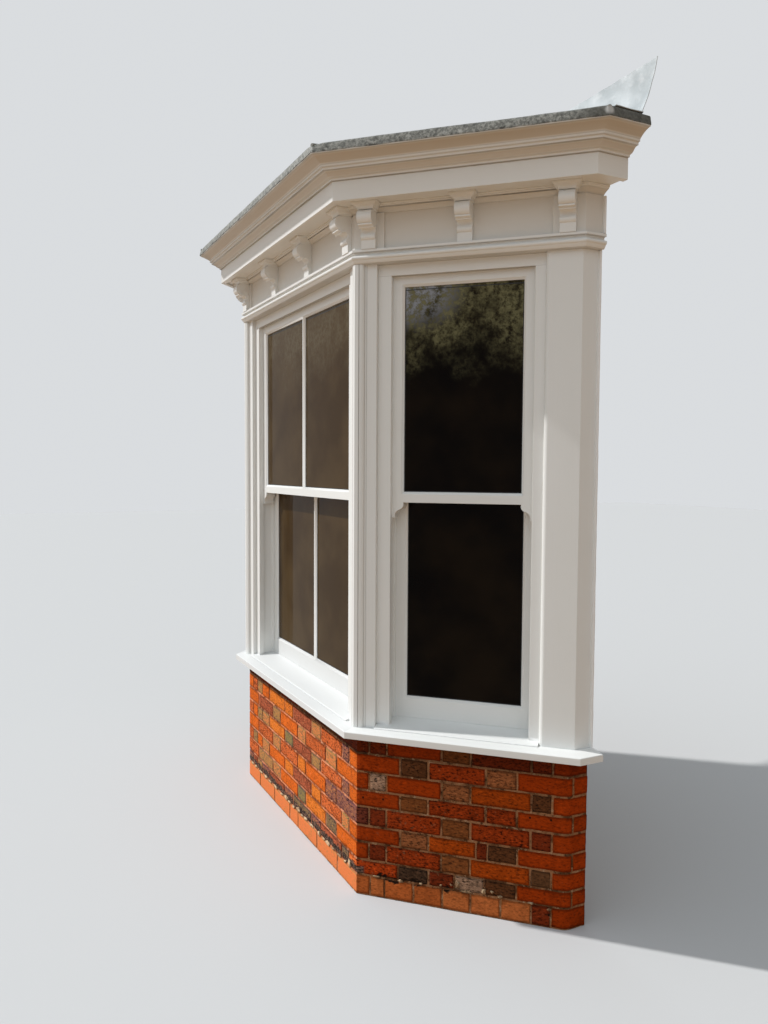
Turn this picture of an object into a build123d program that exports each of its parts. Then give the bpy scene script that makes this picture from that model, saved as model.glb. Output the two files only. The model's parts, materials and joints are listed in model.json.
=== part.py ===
"""Canted timber bay window on a brick plinth, with box sash windows, console cornice and lead roof.

Millimetres, +Z up. The bay projects from the house wall towards -Y. The origin is at ground level, on
the bay's centre line, midway between the wall plane and the front edge of the cornice.

Most sizes are given from the face line: the five-sided line, seen in plan, that the faces of the wall
posts stand on. An offset is measured square to that line, positive towards the street.
"""
import os
from math import cos, radians, sin, tan

from build123d import *

# Face line in plan
front_width = 1500.0
cant_length = 890.0
cant_angle = 45.0
return_depth = 80.0

# Brick plinth
plinth_height = 684.0
plinth_thickness = 220.0
plinth_return_inset = 15.0
bullnose_radius = 55.0

# Main sill
sill_edge_height = 28.0
sill_fall = 7.0
sill_nosing = 70.0
sill_seat_edge = 22.0
drip_groove = 8.0
drip_setback = 14.0

# Posts, frames and the levels of the windows
post_height = 1894.0
frame_depth = 160.0
lining_setback = 20.0
lining_thickness = 25.0
corner_post_face = 19.0
corner_post_reach = 80.0
corner_quirk = 8.0
corner_ovolo_end = 31.0
corner_fillet_end = 36.0
corner_fillet_rise = 3.0
wall_post_reach = 138.0
wall_post_bead = 17.0
lining_width_corner = 56.0
lining_width_wall = 41.0
head_lining_height = 46.0
track_lip = 10.0
parting_bead = 11.0
staff_bead = 16.0
frame_sill_height = 26.0
frame_sill_fall = 20.0
frame_sill_nose = 16.0

# Sashes
sash_thickness = 50.0
stile_width = 56.0
top_rail_height = 51.0
meeting_rail_height = 44.0
meeting_rail_level = 935.0
bottom_rail_height = 90.0
glazing_bar_width = 24.0
glazing_setback = 13.0
glazing_chamfer = 9.0
glass_thickness = 20.0
horn_length = 64.0
horn_tip = 22.0
slide_clearance = 0.3

# Neck moulding, frieze and raised blocks
neck_height = 54.0
neck_projection = 26.0
frieze_height = 173.0
frieze_face = 10.0
block_raise = 10.0
block_from_corner = 117.0
block_from_wall_post = 112.0
board_inner = 170.0

# Consoles and bed moulding
console_width = 60.0
console_inset = 55.0
console_base = 16.0
console_drum = 29.0
console_cap = 30.0
console_reach = 73.0
cap_projection = 22.5
cap_overhang = 5.0
bed_height = 32.0
bed_projection = 36.0
front_console_count = 4
cant_console_count = 3

# Soffit, fascia and crown moulding
soffit_thickness = 18.0
fascia_face = 138.0
fascia_thickness = 25.0
fascia_drop = 8.0
fascia_height = 76.0
crown_height = 84.0
crown_projection = 112.0
crown_top_fillet = 12.0
crown_rebate = 4.0

# Roof
roof_pitch = 4.0
roof_edge_height = 21.0
roof_edge_inset = 14.0
roof_board = 22.0
joist_width = 47.0
joist_count = 5
lead_thickness = 6.0
lead_lip = 5.0
lead_drip = 9.0
flashing_thickness = 5.0
flashing_height = 181.0
flashing_splay = 41.0
flashing_apron = 150.0

# Window board inside
window_board_thickness = 30.0
window_board_overhang = 30.0

# Levels worked out from the sizes above
seat_level = plinth_height + sill_edge_height + sill_fall
head_level = seat_level + post_height
opening_top = head_level - head_lining_height
neck_top = head_level + neck_height
soffit_level = neck_top + frieze_height
fascia_bottom = soffit_level - fascia_drop
fascia_top = fascia_bottom + fascia_height
crown_top = fascia_top + crown_height
crown_face = fascia_face + crown_projection
frame_face = -lining_setback
frame_back = frame_face - frame_depth

# Plan geometry worked out from the face line
cant_run = cant_length * cos(radians(cant_angle))
bay_depth = return_depth + cant_length * sin(radians(cant_angle))
half_front = front_width / 2
half_width = half_front + cant_run
wall_line = (bay_depth + crown_face) / 2
front_line = wall_line - bay_depth
corner_slope = tan(radians(cant_angle / 2))
shoulder_slope = tan(radians((90 - cant_angle) / 2))


def corner(offset):
    """The corner of the front and the right cant, at an offset from the face line."""
    return (half_front + offset * corner_slope, front_line - offset)


def shoulder(offset):
    """The corner of the right cant and the right return."""
    return (half_width + offset, wall_line - return_depth - offset * shoulder_slope)


def wall_end(offset):
    """Where the right return meets the house wall."""
    return (half_width + offset, wall_line)


def wall_points(offset):
    """The points from the house wall round to the corner, also where the return has run out."""
    if shoulder(offset)[1] < wall_line - 1.0:
        return [wall_end(offset), shoulder(offset), corner(offset)]
    angle = radians(cant_angle)
    x = half_width + (offset + return_depth * cos(angle)) / sin(angle)
    return [(x, wall_line), corner(offset)]


def half_points(offset):
    """The right half of the bay's outline, from the house wall to the centre line."""
    return wall_points(offset) + [(0.0, front_line - offset)]


def bay_points(offset):
    """The whole outline of the bay at an offset, closed along the house wall."""
    right = wall_points(offset)
    return right + [(-x, y) for x, y in reversed(right)]


front_plane = Plane(origin=(-half_front, front_line, 0), x_dir=(1, 0, 0), z_dir=(0, -1, 0))
cant_direction = (cos(radians(cant_angle)), sin(radians(cant_angle)), 0)
cant_normal = (sin(radians(cant_angle)), -cos(radians(cant_angle)), 0)
cant_plane = Plane(origin=(half_front, front_line, 0), x_dir=cant_direction, z_dir=cant_normal)
section_plane = Plane(origin=(half_width, wall_line, 0), x_dir=(1, 0, 0), z_dir=(0, -1, 0))
mitre_plane = Plane(
    origin=(half_front, front_line, 0),
    x_dir=(sin(radians(cant_angle / 2)), -cos(radians(cant_angle / 2)), 0),
    z_dir=(cos(radians(cant_angle / 2)), sin(radians(cant_angle / 2)), 0),
)


def cross_plane(facet, along):
    """The upright plane square to a facet at a distance along it: local x outwards, local y up."""
    origin = facet.from_local_coords(Vector(along, 0, 0))
    return Plane(origin=origin, x_dir=facet.z_dir, z_dir=-facet.x_dir)


def prism(points, bottom, top, mode=Mode.ADD):
    """Add an upright prism over a closed outline to the part that is being built."""
    with BuildSketch(Plane.XY.offset(bottom)) as outline:
        with BuildLine():
            Polyline(*points, close=True)
        make_face()
    extrude(outline.sketch, amount=top - bottom, mode=mode)


def half_band(inner, outer, bottom, top):
    """Add the right half of a band that follows the bay between two offsets."""
    prism(half_points(outer) + list(reversed(half_points(inner))), bottom, top)


def half_moulding(draw_profile, back):
    """Sweep a moulding's profile round the right half of the bay, mitred at each corner."""
    with BuildLine() as run:
        Polyline(*half_points(back))
    with BuildSketch(section_plane) as section:
        with BuildLine():
            draw_profile()
        make_face()
    sweep(section.sketch, path=run.wires()[0], transition=Transition.RIGHT)


def front_length(half):
    """The front length of a half run: cut at the mitre and made whole about the centre line."""
    with BuildPart() as length:
        add(half.part)
        split(bisect_by=mitre_plane, keep=Keep.BOTTOM)
        mirror(about=Plane.YZ)
    return length


def right_length(half):
    """The right length of a half run: the cant with its return, cut at the mitre."""
    with BuildPart() as length:
        add(half.part)
        split(bisect_by=mitre_plane, keep=Keep.TOP)
    return length


def left_of(right):
    """The left-hand piece that matches a right-hand one."""
    with BuildPart() as left:
        mirror(right.part, about=Plane.YZ)
    return left


def save(piece, name):
    """Label a finished piece and write it to its own file."""
    piece.part.label = name
    export_step(piece.part, f"parts/{name}.step")


def save_run(half, name):
    """Write the front, right and left lengths of a run that follows the bay."""
    right = right_length(half)
    save(front_length(half), f"{name}_front")
    save(right, f"{name}_right")
    save(left_of(right), f"{name}_left")


# Brick plinth
def build_plinth():
    """The brick apron: squint corners at the front, bullnosed corners beside the house wall."""
    inset = plinth_return_inset
    inner = -plinth_thickness
    turn = wall_line - return_depth - inset * tan(radians(cant_angle))
    return_face = half_width - inset
    outer_points = [(return_face, wall_line), (return_face, turn), corner(0), (0.0, front_line)]
    with BuildPart() as plinth:
        prism(outer_points + list(reversed(half_points(inner))), 0, plinth_height)
        bullnose = plinth.edges().filter_by(Axis.Z).sort_by_distance((return_face, turn, 0))[0]
        fillet(bullnose, radius=bullnose_radius)
    save_run(plinth, "plinth")


# Main sill
def sill_profile():
    """The moulded edge of the sill: level seat, weathered slope, square nosing with a drip groove."""
    bottom = plinth_height
    top = bottom + sill_edge_height
    groove = sill_nosing - drip_setback
    Polyline(
        (0, seat_level),
        (sill_seat_edge, seat_level),
        (sill_nosing - 2, top),
        (sill_nosing, top - 2),
        (sill_nosing, bottom),
        (groove, bottom),
        (groove - drip_groove / 2, bottom + drip_groove / 2),
        (groove - drip_groove, bottom),
        (0, bottom),
        close=True,
    )


def build_sill():
    """The timber sill that carries the posts and the window frames."""
    with BuildPart() as sill:
        half_band(frame_back, 0, plinth_height, seat_level)
        half_moulding(sill_profile, 0)
    save_run(sill, "sill")


def build_window_board():
    """The window board inside, on top of the brickwork."""
    with BuildPart() as board:
        inner = -plinth_thickness - window_board_overhang
        half_band(inner, frame_back, plinth_height, plinth_height + window_board_thickness)
        mirror(about=Plane.YZ)
    save(board, "window_board")


# Posts
def corner_post_profile():
    """Half of the corner post in plan, in the cant's own lines: flat, quirk, ovolo, fillet, flat."""
    face = corner_post_face
    quirk = corner_quirk
    step = corner_fillet_end
    arris = Polyline(
        (0, 0),
        (-face * corner_slope, face),
        (quirk, face),
        (quirk + 2, face - 4),
        (quirk + 4, face - 0.5),
    )
    ovolo = RadiusArc(arris @ 1, (corner_ovolo_end, corner_fillet_rise), 20)
    Polyline(
        ovolo @ 1,
        (step, corner_fillet_rise),
        (step, 0),
        (corner_post_reach, 0),
        (corner_post_reach, -board_inner),
        (board_inner * corner_slope, -board_inner),
        (0, 0),
    )


def build_corner_post():
    """The corner post with its stepped casing, the same on the cant and on the front."""
    plan = Plane(origin=(half_front, front_line, seat_level), x_dir=cant_direction, z_dir=(0, 0, -1))
    with BuildPart() as post:
        with BuildSketch(plan):
            with BuildLine():
                corner_post_profile()
            make_face()
        extrude(amount=-post_height)
        mirror(about=mitre_plane)
    save(post, "corner_post_right")
    save(left_of(post), "corner_post_left")


def build_wall_post():
    """The wide post beside the house wall, with a quarter-round bead at its window side."""
    start = cant_length - wall_post_reach
    bead = wall_post_bead

    def place(along, out):
        spot = cant_plane.from_local_coords(Vector(along, 0, out))
        return (spot.X, spot.Y)

    with BuildPart() as post:
        with BuildSketch(Plane.XY.offset(seat_level)):
            with BuildLine():
                edge = Line(place(start, -board_inner), place(start, frame_face))
                step = Line(edge @ 1, place(start, -bead))
                round_edge = ThreePointArc(
                    step @ 1,
                    place(start + bead * (1 - cos(radians(45))), -bead * (1 - sin(radians(45)))),
                    place(start + bead, 0),
                )
                Polyline(
                    round_edge @ 1,
                    shoulder(0),
                    wall_end(0),
                    (place(start, -board_inner)[0], wall_line),
                    edge @ 0,
                )
            make_face()
        extrude(amount=post_height)
    save(post, "wall_post_right")
    save(left_of(post), "wall_post_left")


# Box frames
class Window:
    """The width and the glazing of one window, along its own facet."""

    def __init__(self, name, facet, length, end_reach, end_lining, panes):
        self.name = name
        self.facet = facet
        self.frame_start = corner_post_reach
        self.frame_end = length - end_reach
        self.opening_start = corner_post_reach + lining_width_corner
        self.opening_end = self.frame_end - end_lining
        self.sash_start = self.opening_start - track_lip + slide_clearance
        self.sash_end = self.opening_end + track_lip - slide_clearance
        self.panes = panes


front_window = Window("front", front_plane, front_width, corner_post_reach, lining_width_corner, 2)
cant_window = Window("right", cant_plane, cant_length, wall_post_reach, lining_width_wall, 1)

upper_face = frame_face - lining_thickness - slide_clearance
lower_face = upper_face - sash_thickness - parting_bead - 2 * slide_clearance
sash_top = opening_top + track_lip - slide_clearance
sash_foot = seat_level + frame_sill_height + slide_clearance
meeting_level = seat_level + meeting_rail_level


def rectangle(left, right, bottom, top, mode=Mode.ADD):
    """Add a rectangle to the sketch that is being drawn, from its four edges."""
    with Locations(((left + right) / 2, (bottom + top) / 2)):
        Rectangle(right - left, top - bottom, mode=mode)


def frame_layer(window, face, back, lip):
    """One layer of a box frame, open at the bottom: two jambs and the head round the opening."""
    with BuildSketch(window.facet.offset(face)) as ring:
        rectangle(window.frame_start, window.frame_end, seat_level, head_level)
        rectangle(
            window.opening_start - track_lip + lip,
            window.opening_end + track_lip - lip,
            seat_level,
            opening_top + track_lip - lip,
            mode=Mode.SUBTRACT,
        )
    extrude(ring.sketch, amount=back - face)


def frame_sill_profile():
    """The frame's own sill in section: level under the lower sash, then weathered to a rounded nose."""
    top = seat_level + frame_sill_height
    Polyline(
        (frame_back, seat_level),
        (frame_back, top + 6),
        (frame_back + staff_bead, top + 6),
        (frame_back + staff_bead, top),
        (lower_face, top),
        (frame_sill_nose - 3, top - frame_sill_fall),
        (frame_sill_nose, top - frame_sill_fall - 3),
        (frame_sill_nose, seat_level),
        close=True,
    )


def build_box_frame(window):
    """A box frame: outer lining, tracks, parting bead, staff bead and the frame's own sill."""
    upper_back = upper_face - sash_thickness - slide_clearance
    lower_back = frame_back + staff_bead
    middle = (window.frame_start + window.frame_end) / 2
    nose_start = window.frame_start
    nose_end = window.frame_end
    with BuildPart() as frame:
        frame_layer(window, frame_face, frame_face - lining_thickness, track_lip)
        frame_layer(window, frame_face - lining_thickness, upper_back, 0)
        frame_layer(window, upper_back, upper_back - parting_bead, track_lip)
        frame_layer(window, upper_back - parting_bead, lower_back, 0)
        frame_layer(window, lower_back, frame_back, track_lip)
        with BuildSketch(cross_plane(window.facet, middle)):
            with BuildLine():
                frame_sill_profile()
            make_face()
        extrude(amount=(nose_end - nose_start) / 2, both=True)
    return frame


# Sashes
def pane_edges(window):
    """The left and right edge of each pane, between the stiles and the glazing bars."""
    left = window.sash_start + stile_width
    right = window.sash_end - stile_width
    width = (right - left - (window.panes - 1) * glazing_bar_width) / window.panes
    starts = [left + index * (width + glazing_bar_width) for index in range(window.panes)]
    return [(start, start + width) for start in starts]


def sash_body(window, face, bottom, top, glass_bottom, glass_top):
    """Add a sash: stiles, rails and bars, with the moulding round each pane on its outer face."""
    plane = window.facet.offset(face)
    with BuildSketch(plane) as outline:
        rectangle(window.sash_start, window.sash_end, bottom, top)
        for left, right in pane_edges(window):
            rectangle(left, right, glass_bottom, glass_top, mode=Mode.SUBTRACT)
    extrude(outline.sketch, amount=-sash_thickness)
    rim = glazing_chamfer
    for left, right in pane_edges(window):
        with BuildSketch(plane) as splay:
            rectangle(left - rim, right + rim, glass_bottom - rim, glass_top + rim)
        extrude(splay.sketch, amount=-rim, taper=45, mode=Mode.SUBTRACT)


def horn(window, side):
    """Draw one ogee horn that runs down below the meeting rail from a stile of the upper sash."""
    outer = window.sash_start if side < 0 else window.sash_end
    inward = -side
    tip = outer + inward * horn_tip
    root = outer + inward * stile_width
    top = meeting_level + 1
    middle = ((tip + root) / 2, meeting_level - horn_length * 0.45)
    with BuildLine() as outline:
        upper = Line((outer, top), (root, top))
        drop = Line(upper @ 1, (root, meeting_level))
        bulge = RadiusArc(drop @ 1, middle, -side * 22)
        hollow = RadiusArc(bulge @ 1, (tip, meeting_level - horn_length), side * 26)
        foot = Line(hollow @ 1, (outer, meeting_level - horn_length))
        Line(foot @ 1, upper @ 0)
    make_face(outline.edges())


def build_upper_sash(window):
    """The upper sash, in the outer track, with a horn on each stile."""
    with BuildPart() as sash:
        sash_body(
            window,
            upper_face,
            meeting_level,
            sash_top,
            meeting_level + meeting_rail_height,
            sash_top - top_rail_height,
        )
        with BuildSketch(window.facet.offset(upper_face)):
            horn(window, -1)
            horn(window, 1)
        extrude(amount=-sash_thickness)
    return sash


def build_lower_sash(window):
    """The lower sash, in the inner track, with its deep bottom rail on the frame's sill."""
    top = meeting_level + meeting_rail_height
    with BuildPart() as sash:
        sash_body(
            window,
            lower_face,
            sash_foot,
            top,
            sash_foot + bottom_rail_height,
            top - meeting_rail_height,
        )
    return sash


def build_glass(window):
    """The sealed glass units of both sashes of a window."""
    lower_top = meeting_level
    sheets = [
        (upper_face, meeting_level + meeting_rail_height, sash_top - top_rail_height),
        (lower_face, sash_foot + bottom_rail_height, lower_top),
    ]
    with BuildPart() as glass:
        for face, bottom, top in sheets:
            with BuildSketch(window.facet.offset(face - glazing_setback)):
                for left, right in pane_edges(window):
                    rectangle(left, right, bottom, top)
            extrude(amount=-glass_thickness)
    return glass


def build_windows():
    """The frame, the sashes and the glass of the front window and of both cant windows."""
    builders = {
        "box_frame": build_box_frame,
        "upper_sash": build_upper_sash,
        "lower_sash": build_lower_sash,
        "glass": build_glass,
    }
    for name, builder in builders.items():
        save(builder(front_window), f"{name}_front")
        right = builder(cant_window)
        save(right, f"{name}_right")
        save(left_of(right), f"{name}_left")


# Neck moulding and frieze
def neck_profile():
    """The neck moulding: cove, rounded nose, hollow and top fillet."""
    back = frieze_face
    nose = back + neck_projection
    low = head_level
    cove = ThreePointArc((back + 10, low), (nose - 11, low + 5), (nose - 6, low + 14))
    round_nose = ThreePointArc(cove @ 1, (nose, low + 22), (nose - 6, low + 30))
    hollow = ThreePointArc(round_nose @ 1, (back + 11, low + 35), (back + 13, low + 43))
    Polyline(
        hollow @ 1,
        (nose - 3, low + 43),
        (nose - 3, neck_top),
        (back, neck_top),
        (back, low),
        (back + 10, low),
    )


def build_neck():
    """The neck moulding that runs round the heads of the posts and the frames."""
    with BuildPart() as neck:
        half_moulding(neck_profile, frieze_face)
    save_run(neck, "neck_moulding")


def gap_box(facet, start, end, inner, outer, bottom, top):
    """Cut a box out of the part, between two places along a facet."""
    with BuildSketch(facet.offset(inner)) as gap:
        rectangle(start, end, bottom, top)
    extrude(gap.sketch, amount=outer - inner, mode=Mode.SUBTRACT)


def build_frieze():
    """The frieze beam, with raised blocks where the corner posts and the wall posts stand."""
    block_top = soffit_level - bed_height
    outer = frieze_face + block_raise
    middle_start = block_from_corner
    middle_end = cant_length - block_from_wall_post
    with BuildPart() as frieze:
        half_band(frieze_face, outer, neck_top, block_top)
        gap_box(cant_plane, middle_start, middle_end, 0, outer + 5, neck_top, block_top)
        gap_box(front_plane, 0, front_width - middle_start, 0, outer + 5, neck_top, block_top)
        half_band(-board_inner, frieze_face, head_level, soffit_level)
    save_run(frieze, "frieze")


# Consoles and bed moulding
def console_places(length, count):
    """The centre of each console along a facet, the end ones at the same inset."""
    step = (length - 2 * console_inset) / (count - 1)
    return [console_inset + index * step for index in range(count)]


def console_back(place, length):
    """The face that a console stands on: the raised block at an end, else the frieze."""
    at_end = min(place, length - place) < block_from_wall_post
    return frieze_face + (block_raise if at_end else 0)


def console_profile():
    """A console seen from the side: base, roll, deep hollow, two stepped fillets and a round drum."""
    foot = neck_top - soffit_level
    top = -console_cap
    base = console_base
    middle_x = console_reach - console_drum
    middle_z = top - console_drum
    low_x = middle_x + console_drum * cos(radians(52))
    low_z = middle_z - console_drum * sin(radians(52))
    drum = ThreePointArc((middle_x, top), (console_reach, middle_z), (low_x, low_z))
    fillets = Polyline(
        drum @ 1,
        (low_x - 5, low_z - 2),
        (low_x - 3, low_z - 3),
        (low_x - 3, low_z - 8),
        (low_x - 15, low_z - 10),
        (low_x - 15, low_z - 16),
        (low_x - 19, low_z - 18),
    )
    hollow = ThreePointArc(fillets @ 1, (base, low_z - 22), (base + 5, low_z - 36))
    roll = ThreePointArc(hollow @ 1, (base + 8, low_z - 45), (base, low_z - 57))
    Polyline(roll @ 1, (base, foot), (0, foot), (0, top), (middle_x, top))


def cap_edge(start, side):
    """The moulded edge of a cap, from its foot up: foot fillet, hollow, small round and top fillet."""
    low = -console_cap
    reach = cap_projection

    def spot(out, up):
        return (start + side * out, up)

    foot = Polyline(spot(0, low), spot(3, low), spot(3, low + 4))
    hollow = ThreePointArc(foot @ 1, spot(reach * 0.3, low + 12), spot(reach - 8, low + 16))
    step = Polyline(hollow @ 1, spot(reach - 7, low + 16), spot(reach - 7, low + 18))
    small_round = ThreePointArc(step @ 1, spot(reach - 3, low + 20), spot(reach - 2, low + 23))
    return Polyline(small_round @ 1, spot(reach, low + 23), spot(reach, 0))


def build_cap():
    """A console's cap: its moulding runs round the front and both sides, mitred at the corners."""
    front = console_reach + cap_overhang - cap_projection
    half = console_width / 2
    with BuildPart() as cap:
        with BuildSketch(Plane.XZ):
            with BuildLine():
                edge = cap_edge(front, 1)
                Polyline(edge @ 1, (0, 0), (0, -console_cap), (front, -console_cap))
            make_face()
        extrude(amount=half + cap_projection, both=True)
        with BuildSketch(Plane.YZ):
            with BuildLine():
                right = cap_edge(half, 1)
                left = cap_edge(-half, -1)
                Line(right @ 1, left @ 1)
                Line((-half, -console_cap), (half, -console_cap))
            make_face()
        extrude(amount=front + cap_projection, mode=Mode.INTERSECT)
    return cap


def build_console():
    """One console, standing out along +X from the face at x = 0, its top at z = 0."""
    cap = build_cap()
    half = console_width / 2
    with BuildPart() as console:
        with BuildSketch(Plane.XZ):
            with BuildLine():
                console_profile()
            make_face()
        extrude(amount=half, both=True)
        add(cap.part)
    return console


def console_row(console, facet, length, count):
    """All the consoles of one facet, as separate solids."""
    with BuildPart() as row:
        for place in console_places(length, count):
            spot = facet.from_local_coords(Vector(place, soffit_level, console_back(place, length)))
            with Locations(Plane(origin=spot, x_dir=facet.z_dir, z_dir=(0, 0, 1))):
                add(console.part)
    return row


def bed_profile():
    """The bed moulding in section, from its foot up: foot fillet, hollow, small round and top fillet."""
    low = soffit_level - bed_height
    back = frieze_face
    front = back + bed_projection
    foot = Polyline((back, low), (back + 4, low), (back + 4, low + 4))
    hollow = ThreePointArc(foot @ 1, (back + bed_projection * 0.36, low + 12), (front - 14, low + 17))
    step = Polyline(hollow @ 1, (front - 12, low + 17), (front - 12, low + 19))
    small_round = ThreePointArc(step @ 1, (front - 6, low + 21), (front - 4, low + 25))
    Polyline(
        small_round @ 1,
        (front, low + 25),
        (front, soffit_level),
        (back, soffit_level),
        (back, low),
    )


def build_consoles():
    """The rows of consoles under the soffit, and the bed moulding coped to their caps."""
    console = build_console()
    right = console_row(console, cant_plane, cant_length, cant_console_count)
    front = console_row(console, front_plane, front_width, front_console_count)
    save(front, "consoles_front")
    save(right, "consoles_right")
    save(left_of(right), "consoles_left")
    with BuildPart() as bed:
        half_moulding(bed_profile, frieze_face)
        add(right.part, mode=Mode.SUBTRACT)
        add(front.part, mode=Mode.SUBTRACT)
        mirror(about=Plane.YZ)
    save(bed, "bed_moulding")


# Cornice
def build_soffit():
    """The soffit board, which closes the top of the bay behind the fascia."""
    with BuildPart() as soffit:
        outer = fascia_face - fascia_thickness
        prism(bay_points(outer), soffit_level, soffit_level + soffit_thickness)
    save(soffit, "soffit")


def build_fascia():
    """The upright fascia board round the edge of the soffit."""
    with BuildPart() as fascia:
        half_band(fascia_face - fascia_thickness, fascia_face, fascia_bottom, fascia_top)
    save_run(fascia, "fascia")


def crown_profile():
    """The crown moulding: bead, small ogee, two fillets, large hollow and a rebated top fillet."""
    back = fascia_face - fascia_thickness
    face = fascia_face
    low = fascia_top
    first = face + 50
    second = face + 58
    bead = Polyline((back, low), (face + 8, low), (face + 8, low + 8))
    swell = ThreePointArc(bead @ 1, (face + 20, low + 11), (face + 29, low + 19))
    dip = ThreePointArc(swell @ 1, (face + 37, low + 26), (face + 46, low + 28))
    steps = Polyline(
        dip @ 1,
        (first, low + 28),
        (first, low + 36),
        (first + 4, low + 38),
        (second, low + 38),
        (second, low + 46),
    )
    hollow = ThreePointArc(
        steps @ 1,
        (second + 17, low + 60),
        (crown_face - 8, crown_top - crown_top_fillet),
    )
    Polyline(
        hollow @ 1,
        (crown_face - crown_rebate, crown_top - crown_top_fillet),
        (crown_face - crown_rebate, crown_top),
        (back, crown_top),
        (back, low),
    )


def build_crown():
    """The crown moulding, mitred at each corner and scribed to the house wall."""
    with BuildPart() as crown:
        half_moulding(crown_profile, fascia_face - fascia_thickness)
    save_run(crown, "crown_moulding")


# Roof
def slope_planes(offset, eaves):
    """The plane of each roof slope, from its eaves up towards the house wall, normals upwards."""
    pitch = radians(roof_pitch)
    slopes = [(0, -1, (0, front_line - offset))]
    for side in (-1, 1):
        x, y = corner(offset)
        slopes.append((side * cant_normal[0], cant_normal[1], (side * x, y)))
        slopes.append((side, 0, (side * (half_width + offset), wall_line)))
    planes = []
    for out_x, out_y, (x, y) in slopes:
        up = (out_x * sin(pitch), out_y * sin(pitch), cos(pitch))
        planes.append(Plane(origin=(x, y, eaves), z_dir=up))
    return planes


def hipped_block(offset, bottom, eaves, rest=0.0):
    """Build a block with a level bottom and low hipped slopes above its eaves."""
    with BuildPart() as block:
        prism(bay_points(offset), bottom, eaves + bay_depth)
        for plane in slope_planes(offset + rest, eaves):
            split(bisect_by=plane, keep=Keep.BOTTOM)
    return block


def build_roof():
    """Joists, boards, the lead roof turned down over the crown, and the flashing at the house wall."""
    inside = fascia_face - fascia_thickness
    edge = crown_face - roof_edge_inset
    eaves = crown_top + roof_edge_height
    joist_bottom = soffit_level + soffit_thickness
    lead_edge = edge + lead_thickness
    lead_eaves = eaves + lead_thickness
    lead_solid = hipped_block(lead_edge, crown_top, lead_eaves)
    board_solid = hipped_block(edge, crown_top, eaves)
    void_solid = hipped_block(inside, joist_bottom, eaves - roof_board, edge - inside)

    with BuildPart() as boards:
        add(board_solid.part)
        add(void_solid.part, mode=Mode.SUBTRACT)
    save(boards, "roof_boards")

    with BuildPart() as joists:
        spacing = 2 * half_front / (joist_count - 1)
        with BuildSketch(Plane.XY.offset(joist_bottom)):
            for index in range(joist_count):
                middle = -half_front + index * spacing
                rectangle(middle - joist_width / 2, middle + joist_width / 2, front_line - inside, wall_line)
        extrude(amount=bay_depth)
        add(void_solid.part, mode=Mode.INTERSECT)
    save(joists, "roof_joists")

    with BuildPart() as lead:
        add(lead_solid.part)
        prism(bay_points(crown_face), crown_top - lead_drip, crown_top + lead_lip)
        rebate = bay_points(crown_face - crown_rebate)
        prism(rebate, crown_top - lead_drip, crown_top, mode=Mode.SUBTRACT)
        add(board_solid.part, mode=Mode.SUBTRACT)
    save(lead, "lead_roof")

    cover = hipped_block(lead_edge, crown_top, lead_eaves + flashing_thickness)
    top = lead_eaves + flashing_height
    with BuildPart() as flashing:
        add(cover.part)
        with BuildSketch(Plane.XY.offset(crown_top)):
            width = 2 * (half_width + lead_edge + 20)
            rectangle(-width / 2, width / 2, front_line - crown_face - 20, wall_line - flashing_apron)
        extrude(amount=bay_depth, mode=Mode.SUBTRACT)
        with BuildSketch(Plane.XZ.offset(-wall_line)):
            with BuildLine():
                Polyline(
                    (-lead_edge - half_width, lead_eaves),
                    (-lead_edge - half_width - flashing_splay, top),
                    (lead_edge + half_width + flashing_splay, top),
                    (lead_edge + half_width, lead_eaves),
                    close=True,
                )
            make_face()
        extrude(amount=flashing_thickness)
        add(lead_solid.part, mode=Mode.SUBTRACT)
    save(flashing, "lead_flashing")


os.makedirs("parts", exist_ok=True)
build_plinth()
build_sill()
build_window_board()
build_corner_post()
build_wall_post()
build_windows()
build_neck()
build_frieze()
build_consoles()
build_soffit()
build_fascia()
build_crown()
build_roof()
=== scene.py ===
# %% [markdown]
# # A bay window, dressed in Blender
#
# The solids of the bay window come from CAD and are loaded as a fixed frame. This lesson adds what makes
# them look real: eased edges and brushed paint on the joinery, worn bricks and mortar on the plinth, dressed
# lead on the roof, and dark sealed glass. Everything is in metres, with +Z up and the front towards -Y.

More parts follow.
